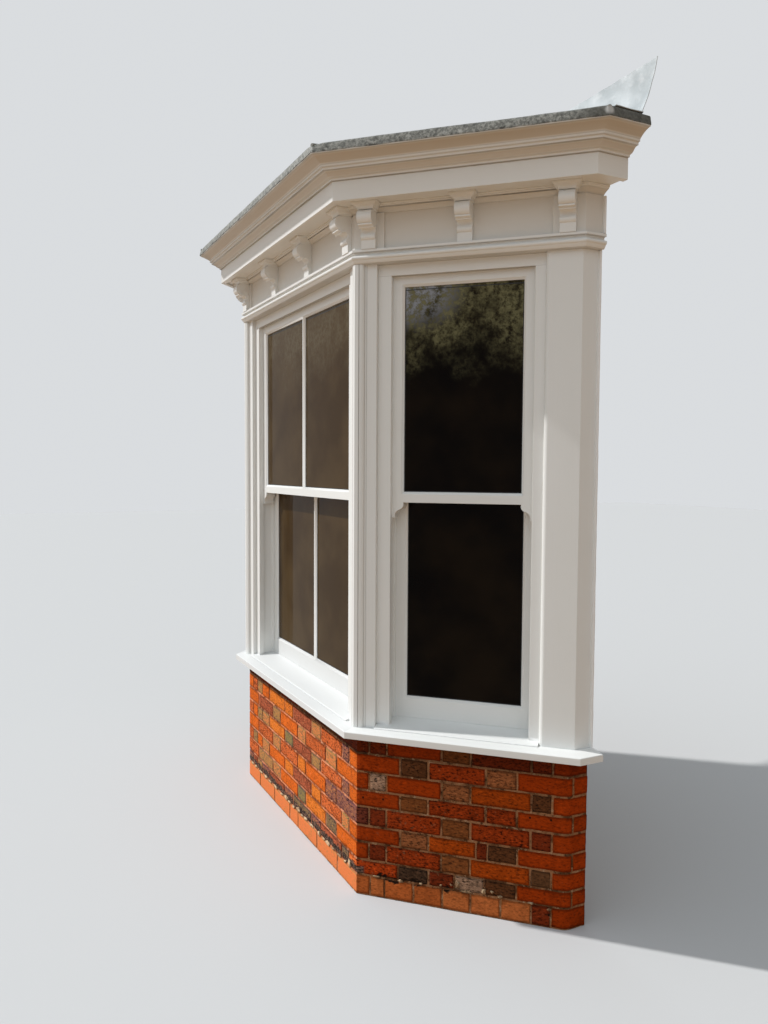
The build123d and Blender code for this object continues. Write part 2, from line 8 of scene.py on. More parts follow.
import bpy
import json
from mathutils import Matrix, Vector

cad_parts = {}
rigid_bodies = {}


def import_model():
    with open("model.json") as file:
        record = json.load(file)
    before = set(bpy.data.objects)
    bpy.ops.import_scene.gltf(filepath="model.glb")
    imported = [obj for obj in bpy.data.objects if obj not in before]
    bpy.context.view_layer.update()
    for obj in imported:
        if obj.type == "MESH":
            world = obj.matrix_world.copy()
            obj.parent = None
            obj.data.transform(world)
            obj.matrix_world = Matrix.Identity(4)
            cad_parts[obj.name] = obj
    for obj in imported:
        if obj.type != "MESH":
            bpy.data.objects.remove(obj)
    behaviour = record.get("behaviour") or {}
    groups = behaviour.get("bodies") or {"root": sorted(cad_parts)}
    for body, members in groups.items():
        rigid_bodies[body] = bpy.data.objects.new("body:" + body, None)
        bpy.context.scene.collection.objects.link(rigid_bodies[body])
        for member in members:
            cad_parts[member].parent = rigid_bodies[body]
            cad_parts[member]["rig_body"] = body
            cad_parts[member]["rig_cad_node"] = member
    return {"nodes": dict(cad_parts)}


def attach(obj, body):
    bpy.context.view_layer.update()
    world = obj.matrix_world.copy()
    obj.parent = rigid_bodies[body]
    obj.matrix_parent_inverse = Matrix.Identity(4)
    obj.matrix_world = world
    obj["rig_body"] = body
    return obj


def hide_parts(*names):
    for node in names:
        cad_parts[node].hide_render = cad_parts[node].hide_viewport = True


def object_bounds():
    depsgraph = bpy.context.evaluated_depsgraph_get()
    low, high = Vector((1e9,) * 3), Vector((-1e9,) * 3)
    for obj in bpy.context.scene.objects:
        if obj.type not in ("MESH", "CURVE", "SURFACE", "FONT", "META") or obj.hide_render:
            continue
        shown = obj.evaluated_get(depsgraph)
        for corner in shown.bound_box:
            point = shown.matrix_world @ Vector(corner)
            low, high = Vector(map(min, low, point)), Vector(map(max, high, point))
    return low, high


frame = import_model()
cad_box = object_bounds()
print("nodes:", len(frame["nodes"]), "box:", cad_box)

# %% Modules
import json
import random
from contextlib import contextmanager
from math import cos, radians, sin, tan

import bmesh
import bpy
from mathutils import Euler, Matrix, Vector, noise

# %% [markdown]
# ## The bay in plan
#
# A bay with canted sides is easier to dress when every place on it has a plain name. Seen in plan, it has
# a front, a right and a left cant at 45 degrees, and a short return on each side that runs to the back.
# Neighbours meet in a mitre, at half the angle between them, so a simple test against two mitre lines says
# which facet a place belongs to.

# %% Facets
half_front = 0.75
cant_length = 0.89
return_depth = 0.08
cornice_reach = 0.25
slant = cos(radians(45))
mitre_angle = radians(22.5)
mitre_slope = tan(mitre_angle)
back_y = cad_box[1][1]
front_y = cad_box[0][1] + cornice_reach
half_width = half_front + cant_length * slant
shoulder_y = back_y - return_depth
sides = {"front": 0, "right": 1, "left": -1}
turns = {"front": 0, "right": 45, "left": -45, "return": 90}
ways = {"front": (1, 0, 0), "right": (slant, slant, 0), "left": (-slant, slant, 0)}
mitres, shoulders = [], []
for side in (1, -1):
    mitres.append(((side * half_front, front_y, 0), (side * cos(mitre_angle), sin(mitre_angle), 0)))
    shoulders.append(((side * half_width, shoulder_y, 0), (side * sin(mitre_angle), cos(mitre_angle), 0)))


def past_mitre(x, y):
    """How far a place lies beyond the mitre between the front and a cant."""
    return (abs(x) - half_front) * cos(mitre_angle) + (y - front_y) * sin(mitre_angle)


def facet_of(x, y):
    """The facet that a place belongs to: front, right, left or return."""
    if past_mitre(x, y) < 0:
        return "front"
    if (abs(x) - half_width) * sin(mitre_angle) + (y - shoulder_y) * cos(mitre_angle) > 0:
        return "return"
    return "right" if x > 0 else "left"


def along(x, y, facet):
    """How far along its facet a place is: from the left end of the front, or from the corner of a cant."""
    if facet == "front":
        return x + half_front
    return (abs(x) - half_front + y - front_y) * slant


def off_cant(x, y):
    """How far out from the face of its cant a place is."""
    return (abs(x) - half_front - y + front_y) * slant


def place_on(facet, reach, out, level):
    """The place at a reach along a facet, a distance out from its face, and a level."""
    if facet == "front":
        return Vector((reach - half_front, front_y - out, level))
    x = half_front + (reach + out) * slant
    return Vector((sides[facet] * x, front_y + (reach - out) * slant, level))


print("back plane", round(back_y, 4), "front face", round(front_y, 4), "half width", round(half_width, 4))

# %% [markdown]
# ## Camera
#
# The camera stands on the right of the bay at head height and looks along the near cant. Its place and
# lens were solved from straight lines of known size, so the render can be laid over the photograph.

# %% Camera
camera_data = bpy.data.cameras.new("camera")
camera_data.lens = 28.835
camera_data.sensor_width = 36.0
camera = bpy.data.objects.new("camera", camera_data)
bpy.context.scene.collection.objects.link(camera)
camera.location = (3.816, -1.6363, 1.796)
tilt_down, heading, roll = radians(3.09), radians(63.50), radians(0.30)
level_view = Euler((radians(90) - tilt_down, 0, heading)).to_matrix()
camera.rotation_euler = (level_view @ Matrix.Rotation(roll, 3, "Z")).to_euler()
bpy.context.scene.camera = camera
print("camera stands", round(camera.location.length, 2), "m from the origin")

# %% [markdown]
# ## Shader maths that reads like maths
#
# A finish is a small sum: so much noise, times a mask, plus a base. The class below wraps one socket of a
# node tree, so that these sums can be written as ordinary Python expressions, and each expression adds its
# own Math nodes. Every other kind of node comes from one method, which takes its settings first.

# %% The Wire class
class Wire:
    """A socket of a node tree that can be added, multiplied and masked like a number."""

    def __init__(self, tree, socket=None):
        self.tree = tree
        self.socket = socket

    def node(self, kind, settings=None, values=None, output=0):
        """Add a node: its settings first, then the values or the wires of its sockets."""
        made = self.tree.nodes.new(kind)
        for name, value in (settings or {}).items():
            if name == "stops":
                made.color_ramp.elements[1].color = (0, 0, 0, 1)
                for position, tone in value:
                    made.color_ramp.elements.new(position).color = (tone, tone, tone, 1)
            else:
                setattr(made, name, value)
        for name, value in (values or {}).items():
            if isinstance(value, Wire):
                self.tree.links.new(value.socket, made.inputs[name])
            else:
                made.inputs[name].default_value = value
        return Wire(self.tree, made.outputs[output])

    def maths(self, operation, first, second=0.0):
        return self.node("ShaderNodeMath", {"operation": operation}, {0: first, 1: second})

    def __add__(self, other):
        return self.maths("ADD", self, other)

    def __sub__(self, other):
        return self.maths("SUBTRACT", self, other)

    def __rsub__(self, other):
        return self.maths("SUBTRACT", other, self)

    def __mul__(self, other):
        return self.maths("MULTIPLY", self, other)

    def __truediv__(self, other):
        return self.maths("DIVIDE", self, other)

    def __abs__(self):
        return self.maths("ABSOLUTE", self)

    __radd__ = __add__
    __rmul__ = __mul__

    def between(self, low, high):
        """0 at low and 1 at high, smooth in between."""
        ends = {"Value": self, "From Min": low, "From Max": high}
        return self.node("ShaderNodeMapRange", {"interpolation_type": "SMOOTHSTEP"}, ends)

# %% [markdown]
# Every finish asks for the same few things: a place on the piece, some noise, a mix of two colours, and a
# shader to lay them on. Each becomes a short function here, so that a finish reads as a recipe.

# %% Helpers for finishes
def new_finish(name, constants):
    """A new material, its constants on its shader's own sockets, and the wire of a place on the piece."""
    material = bpy.data.materials.new(name)
    material.use_nodes = True
    for socket, value in constants.items():
        material.node_tree.nodes["Principled BSDF"].inputs[socket].default_value = value
    return material, Wire(material.node_tree).node("ShaderNodeTexCoord", output="Object")


def lay(material, color=None, roughness=None, height=None, strength=0.3, depth=0.001):
    """Wire a finish's colour, roughness and height to its shader."""
    shader = material.node_tree.nodes["Principled BSDF"]
    links = material.node_tree.links
    for socket, wire in (("Base Color", color), ("Roughness", roughness)):
        if wire is not None:
            links.new(wire.socket, shader.inputs[socket])
    if height is not None:
        settings = {"Strength": strength, "Distance": depth, "Height": height}
        links.new(height.node("ShaderNodeBump", None, settings).socket, shader.inputs["Normal"])
    return material


def blend(first, second, share):
    """Mix two colours by a wire that runs from 0 to 1."""
    return share.node("ShaderNodeMix", {"data_type": "RGBA"}, {0: share, 6: first, 7: second}, 2)


def vectors(operation, first, second=(0, 0, 0), output="Vector"):
    """Vector maths on places or colours."""
    return first.node("ShaderNodeVectorMath", {"operation": operation}, {0: first, 1: second}, output)


def stretch(place, scale):
    """Scale a place along its three axes, or tint a colour."""
    return vectors("MULTIPLY", place, scale)


def axis_of(place, axis):
    """One coordinate of a place."""
    return place.node("ShaderNodeSeparateXYZ", None, {"Vector": place}, axis)


def stored(place, name, output="Fac"):
    """A value that is stored in the mesh under a name."""
    return place.node("ShaderNodeAttribute", {"attribute_name": name}, output=output)


def cloudy(place, scale, detail=2.0, rough=0.5, output=0):
    """Smooth noise from 0 to 1 at a scale in features per metre."""
    values = {"Vector": place, "Scale": scale, "Detail": detail, "Roughness": rough}
    return place.node("ShaderNodeTexNoise", None, values, output)


print("helpers ready: new_finish, lay, blend, vectors, stretch, axis_of, stored, cloudy")

# %% [markdown]
# ## Dust and painted shade
#
# Dust lodges in the quirks of a moulding, which are the narrow grooves between two curves, and the
# quirks are also painted darker as shade. The hollows under the cornice are painted brown as shade. Both
# follow the section of the moulding, so they can be read from the level of a place, or from its reach across
# a post. A list gives the place and strength of each line, and one colour ramp turns the whole list into a
# mask, with far fewer nodes than a mask for every line. The left side, which the key light falls on
# squarely, is painted a little darker and greyer than the rest, as shade against that light.

# %% Dust and shade lines
cornice_foot, cornice_height = 2.6, 0.4
# the quirks of the cornice, dusty and painted darker as shade: level and strength
quirks = [
    (2.6135, 0.8), (2.6565, 0.7), (2.6675, 0.9), (2.827, 0.35), (2.908, 1.0),
    (2.9175, 0.6), (2.936, 0.9), (2.946, 0.6), (2.955, 0.7), (2.980, 0.7),
]
# painted shade in the hollows under the cornice: level and strength
hollows_painted_shade = [
    (2.668, 0.0), (2.672, 0.4), (2.824, 0.4), (2.830, 0.0), (2.918, 0.0), (2.921, 0.8),
    (2.933, 0.8), (2.935, 0.0), (2.956, 0.0), (2.960, 1.0), (2.977, 1.0), (2.981, 0.0),
]
# the quirks of a moulded post, dusty and painted darker as shade: reach and strength
post_quirks = [(0.0100, 1.0), (0.0305, 0.8), (0.0380, 0.7), (0.0820, 0.8)]


def through(place, foot, size, stops):
    """A value that runs through a list of places and strengths, on a ramp from foot to foot + size."""
    shares = [((at - foot) / size, strength) for at, strength in stops]
    return place.node("ShaderNodeValToRGB", {"stops": shares}, {0: (place - foot) / size})


def dust_and_shade_lines(place, foot, size, lines, half_line):
    """Up to 1 on the quirks and joints of a moulding, where dust lodges and shade is painted, and 0 between
    them.
    """
    stops = []
    for at, strength in lines:
        stops += [(at - half_line, 0.0), (at, strength), (at + half_line, 0.0)]
    return through(place, foot, size, stops)


def left_side_painted_shade(place, color):
    """The colour, painted a little darker and greyer on the left side, as shade against the key light."""
    beyond_corner = axis_of(place, "X").between(-half_front - 0.060, -half_front - 0.005)
    return blend(stretch(color, (0.88, 0.88, 0.885)), color, beyond_corner)


print("dirt lines:", len(quirks), "on the cornice,", len(post_quirks), "on a post")

# %% [markdown]
# ## Paint
#
# The joinery is painted a warm white, by brush, so the marks run with the length of each board: up the
# posts and stiles, and level along sills, rails and mouldings. On a cant they have to turn with it. One
# function makes the paint for any direction, and the noise is stretched 80 times along the brush stroke.
# Paint for a level run has the dust and painted shade of the cornice in it, and on the front and left,
# where the sun is strongest, it is painted darker low down, on the sills and bottom rails, as shade. Paint
# for a moulded post has its dust and painted shade in upright lines, and paint for a jamb has a thin dark
# joint at its head.

# %% Paint
head_joint = 2.567
painted_shade_below = (0.836, 0.860)


def paint(name, turn, joint=None, moulded=False):
    """Satin paint with its brush marks at an angle in plan, or upright where the angle is None."""
    material, place = new_finish("paint_" + name, {"Specular IOR Level": 0.42})
    angle = (0, radians(90), 0) if turn is None else (0, 0, radians(-turn))
    run = place.node("ShaderNodeMapping", None, {"Vector": place, "Rotation": angle})
    marks = cloudy(stretch(run, (3.0, 240.0, 240.0)), 1.0, 3.0, 0.6)
    boards = cloudy(stretch(run, (0.7, 9.0, 9.0)), 1.0, 2.0)
    clouds = cloudy(place, 5.0, 3.0)
    warm = blend((0.760, 0.755, 0.720, 1), (0.820, 0.822, 0.800, 1), clouds * 0.55 + boards * 0.45)
    color = blend(warm, (0.70, 0.675, 0.62, 1), marks.between(0.56, 0.85) * 0.22)
    height = marks * 0.55 + boards * 0.6
    level = axis_of(place, "Z")
    dust_and_shade = None
    if turn is not None:
        # painted shade: the hollows under the cornice are painted brown
        shaded_brown = stretch(color, (0.72, 0.64, 0.55))
        color = blend(color, shaded_brown, through(level, cornice_foot, cornice_height, hollows_painted_shade))
        # dust, and painted shade, in the quirks of the cornice
        dust_and_shade = dust_and_shade_lines(level, cornice_foot, cornice_height, quirks, 0.0020)
    # painted shade: the left side a little darker and greyer
    color = left_side_painted_shade(place, color)
    # painted shade low down on the front and left, where the sun is strongest
    if turn in (turns["front"], turns["left"]):
        color = blend(stretch(color, (0.875, 0.875, 0.885)), color, level.between(*painted_shade_below))
    if moulded:
        x, y = abs(axis_of(place, "X")), axis_of(place, "Y")
        on_cant = (x + y - half_front - front_y) * slant
        reach = on_cant.maths("MAXIMUM", on_cant, half_front - x)
        # dust, and painted shade, in the quirks of a moulded post
        dust_and_shade = dust_and_shade_lines(reach, 0.0, 0.1, post_quirks, 0.0022) * 0.8
    if dust_and_shade is not None:
        color = blend(color, (0.150, 0.115, 0.078, 1), dust_and_shade * (0.35 + clouds * 0.9) * 0.75)
    if joint is not None:
        gap = 1 - (abs(level - joint) / 0.0009).between(0.2, 1.0)
        color = blend(color, (0.24, 0.21, 0.17, 1), gap * 0.6)
        height = height - gap
    return lay(material, color, marks * 0.16 + clouds * 0.12 + 0.30, height, 0.26, 0.0007)


upright, jamb = paint("upright", None), paint("jamb", None, head_joint)
moulded_post = paint("moulded_post", None, None, True)
brushed = {facet: paint(facet, turn) for facet, turn in turns.items()}
print("paints:", upright.name, jamb.name, moulded_post.name, [p.name for p in brushed.values()])

# %% [markdown]
# ## Pieces by hand
#
# An operator acts on all that is selected, so each of these helpers starts from a clear selection. They do
# what hands do most: pick a piece, add a primitive at its size, join, cut, thicken and smooth.

# %% Helpers for pieces
def only(piece):
    """Select one piece and nothing else."""
    bpy.ops.object.select_all(action="DESELECT")
    piece.select_set(True)
    bpy.context.view_layer.objects.active = piece


@contextmanager
def edit_mode(piece):
    """Work on a piece in edit mode, with all of it selected at the start."""
    only(piece)
    bpy.ops.object.mode_set(mode="EDIT")
    bpy.ops.mesh.select_all(action="SELECT")
    yield
    bpy.ops.object.mode_set(mode="OBJECT")


def add(primitive, sized=(1, 1, 1), **values):
    """Add a primitive with nothing else selected, stretch it along its own axes, and apply that."""
    bpy.ops.object.select_all(action="DESELECT")
    primitive(**values)
    piece = bpy.context.object
    piece.scale = sized
    bpy.ops.object.transform_apply(location=True, rotation=True, scale=True)
    return piece


def another(piece, name):
    """A copy of a piece, with a mesh of its own."""
    made = bpy.data.objects.new(name, piece.data.copy())
    bpy.context.scene.collection.objects.link(made)
    return made


def join(pieces):
    """Join pieces into the first of them."""
    only(pieces[0])
    for piece in pieces[1:]:
        piece.select_set(True)
    bpy.ops.object.join()
    return pieces[0]


def cut(piece, *planes, trim=False):
    """Cut a piece along planes, each a point and a normal, and trim off what lies beyond them if asked."""
    with edit_mode(piece):
        for point, normal in planes:
            bpy.ops.mesh.select_all(action="SELECT")
            bpy.ops.mesh.bisect(plane_co=point, plane_no=normal, clear_outer=trim)


def even_cuts(length, count):
    """The level planes that cut an upright length into equal parts."""
    return [((0, 0, length * (step / count - 0.5)), (0, 0, 1)) for step in range(1, count)]


def thicken(piece, thickness, offset):
    """Give a sheet its thickness: offset -1 below its faces, 1 above them and 0 on both sides."""
    only(piece)
    solid = piece.modifiers.new("solid", "SOLIDIFY")
    solid.thickness, solid.offset = thickness, offset
    bpy.ops.object.modifier_apply(modifier="solid")


def finish_smooth(piece, angle=40):
    """Apply what is on a piece, shade it smooth up to an angle, and keep its large faces flat."""
    only(piece)
    for modifier in list(piece.modifiers):
        bpy.ops.object.modifier_apply(modifier=modifier.name)
    bpy.ops.object.shade_smooth_by_angle(angle=radians(angle))
    piece.modifiers.new("flat", "WEIGHTED_NORMAL").keep_sharp = True
    bpy.ops.object.modifier_apply(modifier="flat")


def stand_for(piece, slot, *nodes):
    """The piece rides on the bay and is shown in place of any CAD nodes named; the slot is not used."""
    if nodes:
        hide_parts(*nodes)
    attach(piece, "root")


def refinish(node, finish):
    """Give a CAD node another finish, in its own slot."""
    materials = frame["nodes"][node].data.materials
    materials.clear()
    materials.append(finish)


print("helpers ready: only, edit_mode, add, another, join, cut, thicken, finish_smooth, stand_for, refinish")

# %% [markdown]
# ## Easing the joinery
#
# A CAD solid has razor edges, and real joinery hasn't: a plane and three coats of paint leave every arris
# a millimetre or so round, and that is what catches the light. Each painted solid is copied, its loose
# triangles are merged into whole faces, and its outer edges are bevelled. Edges that lie in a mitre or
# on the back plane stay sharp, so that the joint between two lengths closes and can't be seen.

# %% Copy and ease
touching = 0.0003


def copy_of(node, name):
    """A copy of a CAD node with its triangles merged into whole faces."""
    source = frame["nodes"][node]
    piece = source.copy()
    piece.data = source.data.copy()
    piece.name = piece.data.name = name
    piece.parent = None
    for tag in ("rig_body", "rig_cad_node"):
        del piece[tag]
    bpy.context.scene.collection.objects.link(piece)
    with edit_mode(piece):
        bpy.ops.mesh.remove_doubles(threshold=0.00002)
        bpy.ops.mesh.dissolve_limited(angle_limit=radians(0.4))
    return piece


def in_joint(point, whole=False):
    """True where a place lies on the back plane, or in a mitre unless the piece is whole there."""
    if abs(point.y - back_y) < touching:
        return True
    return abs(past_mitre(point.x, point.y)) < touching and not whole


def ease(piece, width, whole=False):
    """Round the outer edges of a piece, but not those in a joint, which stay sharp."""
    shape = bmesh.new()
    shape.from_mesh(piece.data)
    weight = shape.edges.layers.float.new("bevel_weight_edge")
    for edge in shape.edges:
        turn = edge.calc_face_angle_signed(0) if len(edge.link_faces) == 2 else 0
        if all(in_joint(corner.co, whole) for corner in edge.verts):
            edge.smooth = abs(turn) < radians(4)
        elif turn > radians(24):
            edge[weight] = 1.0
    shape.to_mesh(piece.data)
    shape.free()
    bevel = piece.modifiers.new("ease", "BEVEL")
    bevel.limit_method = "WEIGHT"
    bevel.width, bevel.segments = width, 2
    bevel.use_clamp_overlap = False
    finish_smooth(piece)

# %% [markdown]
# Which way the brush went is decided face by face. Frames and sashes have both upright and level members,
# so they are first cut along their joints, and then each face is given the paint of its own member.

# %% Brush
def brush(piece, is_level, post_paint=upright):
    """Give each face the paint of its own direction."""
    paints = [post_paint, *brushed.values()]
    names = list(brushed)
    piece.data.materials.clear()
    for item in paints:
        piece.data.materials.append(item)
    for face in piece.data.polygons:
        facet = facet_of(face.center.x, face.center.y)
        if is_level(face.center, facet):
            face.material_index = 1 + names.index(facet)
        else:
            face.material_index = 0


frame_sill_top, stile_width, glazing_foot, glazing_head = 0.7449, 0.056, 0.8353, 2.516
meeting_foot, meeting_head = 1.654, 1.698
sash_ends = {"front": (0.1263, 1.3737), "right": (0.1263, 0.7207), "left": (0.1263, 0.7207)}


def always(place, facet):
    """For a piece that is level all over."""
    return True


def never(place, facet):
    """For a piece that is upright all over."""
    return False


def frame_level(place, facet):
    """True on the head and sill of a box frame, and false on its jambs."""
    return place.z > head_joint or place.z < frame_sill_top


def sash_level(place, facet):
    """True on the rails of a sash, and false on its stiles and bars."""
    start, end = sash_ends[facet if facet in sash_ends else "right"]
    reach = along(place.x, place.y, facet if facet != "return" else "right")
    if not start + stile_width < reach < end - stile_width:
        return False
    return not (glazing_foot < place.z < meeting_foot or meeting_head < place.z < glazing_head)


def member_cuts(facet):
    """The upright planes at the stiles of a sash, across its facet."""
    start, end = sash_ends[facet]
    return [(place_on(facet, reach, 0, 0), ways[facet]) for reach in (start + stile_width, end - stile_width)]


print("sashes reach from", sash_ends["front"][0], "to", sash_ends["front"][1], "m along the front")

# %% [markdown]
# Every painted node then goes through the same steps: copy, cut along the joints, ease, brush. Sills and
# mouldings are level all over, posts and consoles are upright, and frames and sashes are some of each.

# %% Dress the joinery
def dress(node, width, is_level, *planes, post_paint=upright, whole=False):
    """Ease and paint a copy of a node, cut along planes where it has joints, and show it instead."""
    piece = copy_of(node, node + "_painted")
    if planes:
        cut(piece, *planes)
    ease(piece, width, whole)
    brush(piece, is_level, post_paint)
    stand_for(piece, "painted_timber", node)


frame_joints = [((0, 0, head_joint), (0, 0, 1)), ((0, 0, frame_sill_top), (0, 0, 1))]
for facet in sides:
    for name in ("sill", "neck_moulding", "frieze", "fascia", "crown_moulding"):
        dress(f"{name}_{facet}", 0.0010 if name == "neck_moulding" else 0.0013, always)
    dress(f"box_frame_{facet}", 0.0014, frame_level, *frame_joints, post_paint=jamb)
    for name in ("upper_sash", "lower_sash"):
        dress(f"{name}_{facet}", 0.0012, sash_level, *member_cuts(facet))
    dress(f"consoles_{facet}", 0.0007, never)
for side in ("right", "left"):
    dress(f"corner_post_{side}", 0.0007, never, post_paint=moulded_post, whole=True)
    dress(f"wall_post_{side}", 0.0012, never)
dress("bed_moulding", 0.0012, always)
for name in ("soffit", "window_board"):
    dress(name, 0.0012, always, *mitres)

# %% [markdown]
# ## Glass
#
# The panes are sealed units with a dark room behind them. A see-through pane would show the studio, so the
# glass is a dark coat with little gloss, painted as the shade of that room: nearly black on the cants, and
# brown on the front, which is a painted reflection of brick. Towards the head it holds a painted reflection
# of leaves, a dim green which a coarse and a fine noise make together, and one paler gap, a painted
# reflection of sky. Lower down, dim patches are painted reflection too. A very slow wave in it bends the
# little that it mirrors, as float glass does.
# The solids already have the right shape, so they stay, and only get this material in their slots.

# %% Glass
sky_reflection_spot = (0.85, 0.05, 2.52)


def glass_with_painted_reflection(name, dark, dim_reflection, leaf_reflection):
    """Sealed glass with a slow wave in its surface, painted from the shade of a dark room at the foot to a
    reflection of leaves at the head.
    """
    material, place = new_finish("glass_painted_reflection_" + name, {"Specular IOR Level": 0.05, "IOR": 1.45})
    # painted reflection: dim patches lower down, and leaves towards the head; the dark tone is painted shade
    # of the room
    reflected_patches = cloudy(place, 3.5, 3.0)
    reflected_boughs, reflected_leaves = cloudy(place, 9.0, 4.0, 0.6), cloudy(place, 40.0, 6.0, 0.75)
    head = (axis_of(place, "Z") + reflected_boughs * 0.35).between(2.32, 2.62)
    low = blend(dark, dim_reflection, reflected_patches.between(0.35, 0.7))
    high = blend(dim_reflection, leaf_reflection, reflected_leaves.between(0.32, 0.66) * reflected_boughs.between(0.24, 0.58))
    # painted reflection of sky in one paler gap
    apart = vectors("DISTANCE", vectors("ABSOLUTE", place), sky_reflection_spot, "Value")
    gap = (1 - (apart + reflected_leaves * 0.10).between(0.08, 0.25)) * (1 - reflected_leaves).between(0.40, 0.58)
    high = blend(high, (0.30, 0.32, 0.36, 1), gap)
    film = cloudy(place, 60.0, 3.0)
    wave = cloudy(place, 4.0, 1.0)
    return lay(material, blend(low, high, head), film * 0.03 + 0.02, wave, 0.12, 0.002)


# painted shade of the room, dim painted reflection and painted reflection of leaves; the front's brown is a
# painted reflection of brick
cant_tones = (0.002, 0.0008, 0.0002, 1), (0.010, 0.0055, 0.0020, 1), (0.190, 0.180, 0.092, 1)
front_tones = (0.042, 0.022, 0.006, 1), (0.066, 0.039, 0.014, 1), (0.098, 0.075, 0.042, 1)
cant_glass, front_glass = glass_with_painted_reflection("cant", *cant_tones), glass_with_painted_reflection("front", *front_tones)
for facet in sides:
    refinish(f"glass_{facet}", front_glass if facet == "front" else cant_glass)
print("glass:", cant_glass.name, front_glass.name)

# %% [markdown]
# Each sealed unit sits in the sash on a thin black gasket, which shows as a dark line all round the pane.
# It is a frame of thin strip: a plane as large as the pane, inset to leave a rim, with the middle deleted.

# %% Gaskets
def gasket_finish():
    """Black rubber, a little dusty."""
    material, place = new_finish("gasket_rubber", {})
    dust = cloudy(place, 90.0, 3.0)
    color = blend((0.006, 0.006, 0.006, 1), (0.035, 0.031, 0.026, 1), dust.between(0.45, 0.8))
    return lay(material, color, dust * 0.2 + 0.45, dust, 0.2, 0.0004)


def gasket(width, height, rim=0.0032):
    """One gasket, flat in the XZ plane about its middle, and 1.6 mm thick."""
    upright_plane = {"size": 1, "rotation": (radians(90), 0, 0)}
    strip = add(bpy.ops.mesh.primitive_plane_add, (width, height, 1), **upright_plane)
    with edit_mode(strip):
        bpy.ops.mesh.inset(thickness=rim)
        bpy.ops.mesh.delete(type="FACE")
    thicken(strip, 0.0016, 0)
    return strip


panes = {"front": [(0.1823, 0.738), (0.762, 1.3177)], "right": [(0.1823, 0.6647)], "left": [(0.1823, 0.6647)]}
pane_rows = [(glazing_foot, meeting_foot, 0.1086), (meeting_head, glazing_head, 0.0473)]
pane_set_back, clearance = 0.0115, 0.0006
rubber = gasket_finish()
for facet, spans in panes.items():
    strips = []
    for start, end in spans:
        for foot, head, depth in pane_rows:
            strip = gasket(end - start - clearance, head - foot - clearance)
            middle = place_on(facet, (start + end) / 2, -depth - pane_set_back, (foot + head) / 2)
            turned = Matrix.Rotation(radians(turns[facet]), 4, "Z")
            strip.data.transform(Matrix.Translation(middle) @ turned)
            strips.append(strip)
    gaskets = join(strips)
    gaskets.name = f"gaskets_{facet}"
    gaskets.data.materials.append(rubber)
    stand_for(gaskets, "glass")
print("gaskets round", sum(2 * len(spans) for spans in panes.values()), "panes")

# %% [markdown]
# ## Bricks
#
# The plinth is old handmade brickwork in Flemish bond: long stretchers and short headers in turn along
# every course, with squint bricks that turn the front corners and bullnosed ones at the back. The
# stretchers are orange to dark red, and most headers are burnt grey or tan. The easiest way to bond round
# a corner is to lay the courses out flat, on one long line, and to wrap the finished skin of bricks round
# the plan afterwards. So each brick is one copy of a worn master brick, stretched to its own length.

# %% The wrapping line
plinth_inset, bullnose = 0.015, 0.055
turn_reach = cant_length - plinth_inset / slant
round_start = half_front + turn_reach - bullnose * mitre_slope
round_end = round_start + bullnose * radians(45)
return_x = half_width - plinth_inset
line_end = round_end + back_y - (front_y + turn_reach * slant) - bullnose * mitre_slope
middle_x, middle_y = return_x - bullnose, back_y - (line_end - round_end)


def wrap(run, depth):
    """The plan position of a place on the flat line: its run from the centre, and its depth behind it."""
    side, run = (-1 if run < 0 else 1), abs(run)
    pinch = depth * mitre_slope
    if run <= half_front:
        return side * min(run, half_front - pinch), front_y + depth
    if run <= round_start:
        reach = max(run - half_front, pinch)
        return side * (half_front + (reach - depth) * slant), front_y + (reach + depth) * slant
    angle = radians(-45) + min((run - round_start) / bullnose, radians(45))
    beyond = max(run - round_end, 0.0)
    x = middle_x + (bullnose - depth) * cos(angle)
    return side * x, middle_y + (bullnose - depth) * sin(angle) + beyond


print("half line", round(line_end, 4), "round corner", round(round_start, 4), round(round_end, 4))

# %% [markdown]
# The courses are set out as a bricklayer would: each has the level of its bed, and its upright joints along
# the front and along a cant, measured from the corner. Two patterns take turns, one that starts at the corner
# with the long side of a squint brick, and one that starts with its short side and a closer. The lowest
# course is of larger blocks, and two others are irregular on the cants. The last brick of a course runs a
# little past the back plane, so that no joint shows there.

# %% Courses
long_front = [0.080, 0.155, 0.240, 0.360, 0.608, 0.730, 0.980, 1.100, 1.345, 1.420]
short_front = [0.175, 0.420, 0.540, 0.797, 0.907, 1.160, 1.285]
long_cant, short_cant = [0.190, 0.310, 0.548, 0.672], [0.056, 0.131, 0.366, 0.486, 0.728, 0.809]
block_front = [0.199, 0.447, 0.685, 0.800, 1.055, 1.297]
block_cant = [0.062, 0.124, 0.250, 0.373, 0.489, 0.612, 0.734, 0.809]
bed_levels = [0.0, 0.086, 0.152, 0.227, 0.299, 0.379, 0.450, 0.527, 0.605, 0.684]
patterns = [(block_cant, block_front)]
for course in range(1, len(bed_levels) - 1):
    patterns.append((long_cant, long_front) if course % 2 else (short_cant, short_front))
patterns[1] = ([0.184, 0.314, 0.423, 0.545, 0.674], long_front)
patterns[3] = ([0.192, 0.312, 0.511, 0.556, 0.675], long_front)
past_back, past_round = 0.004, 0.006


def bricks_of(course):
    """Each brick of a course: its start and end on the flat line, from the left end to the right."""
    cant, front = patterns[course]
    right = [half_front + reach for reach in cant] + [line_end + past_back]
    if course % 2:
        right.insert(-1, round_end + past_round)
    left = [-run for run in reversed(right)]
    joints = left + [reach - half_front for reach in front] + right
    return list(zip(joints, joints[1:]))


print("courses:", len(patterns), "bricks:", sum(len(bricks_of(course)) for course in range(len(patterns))))

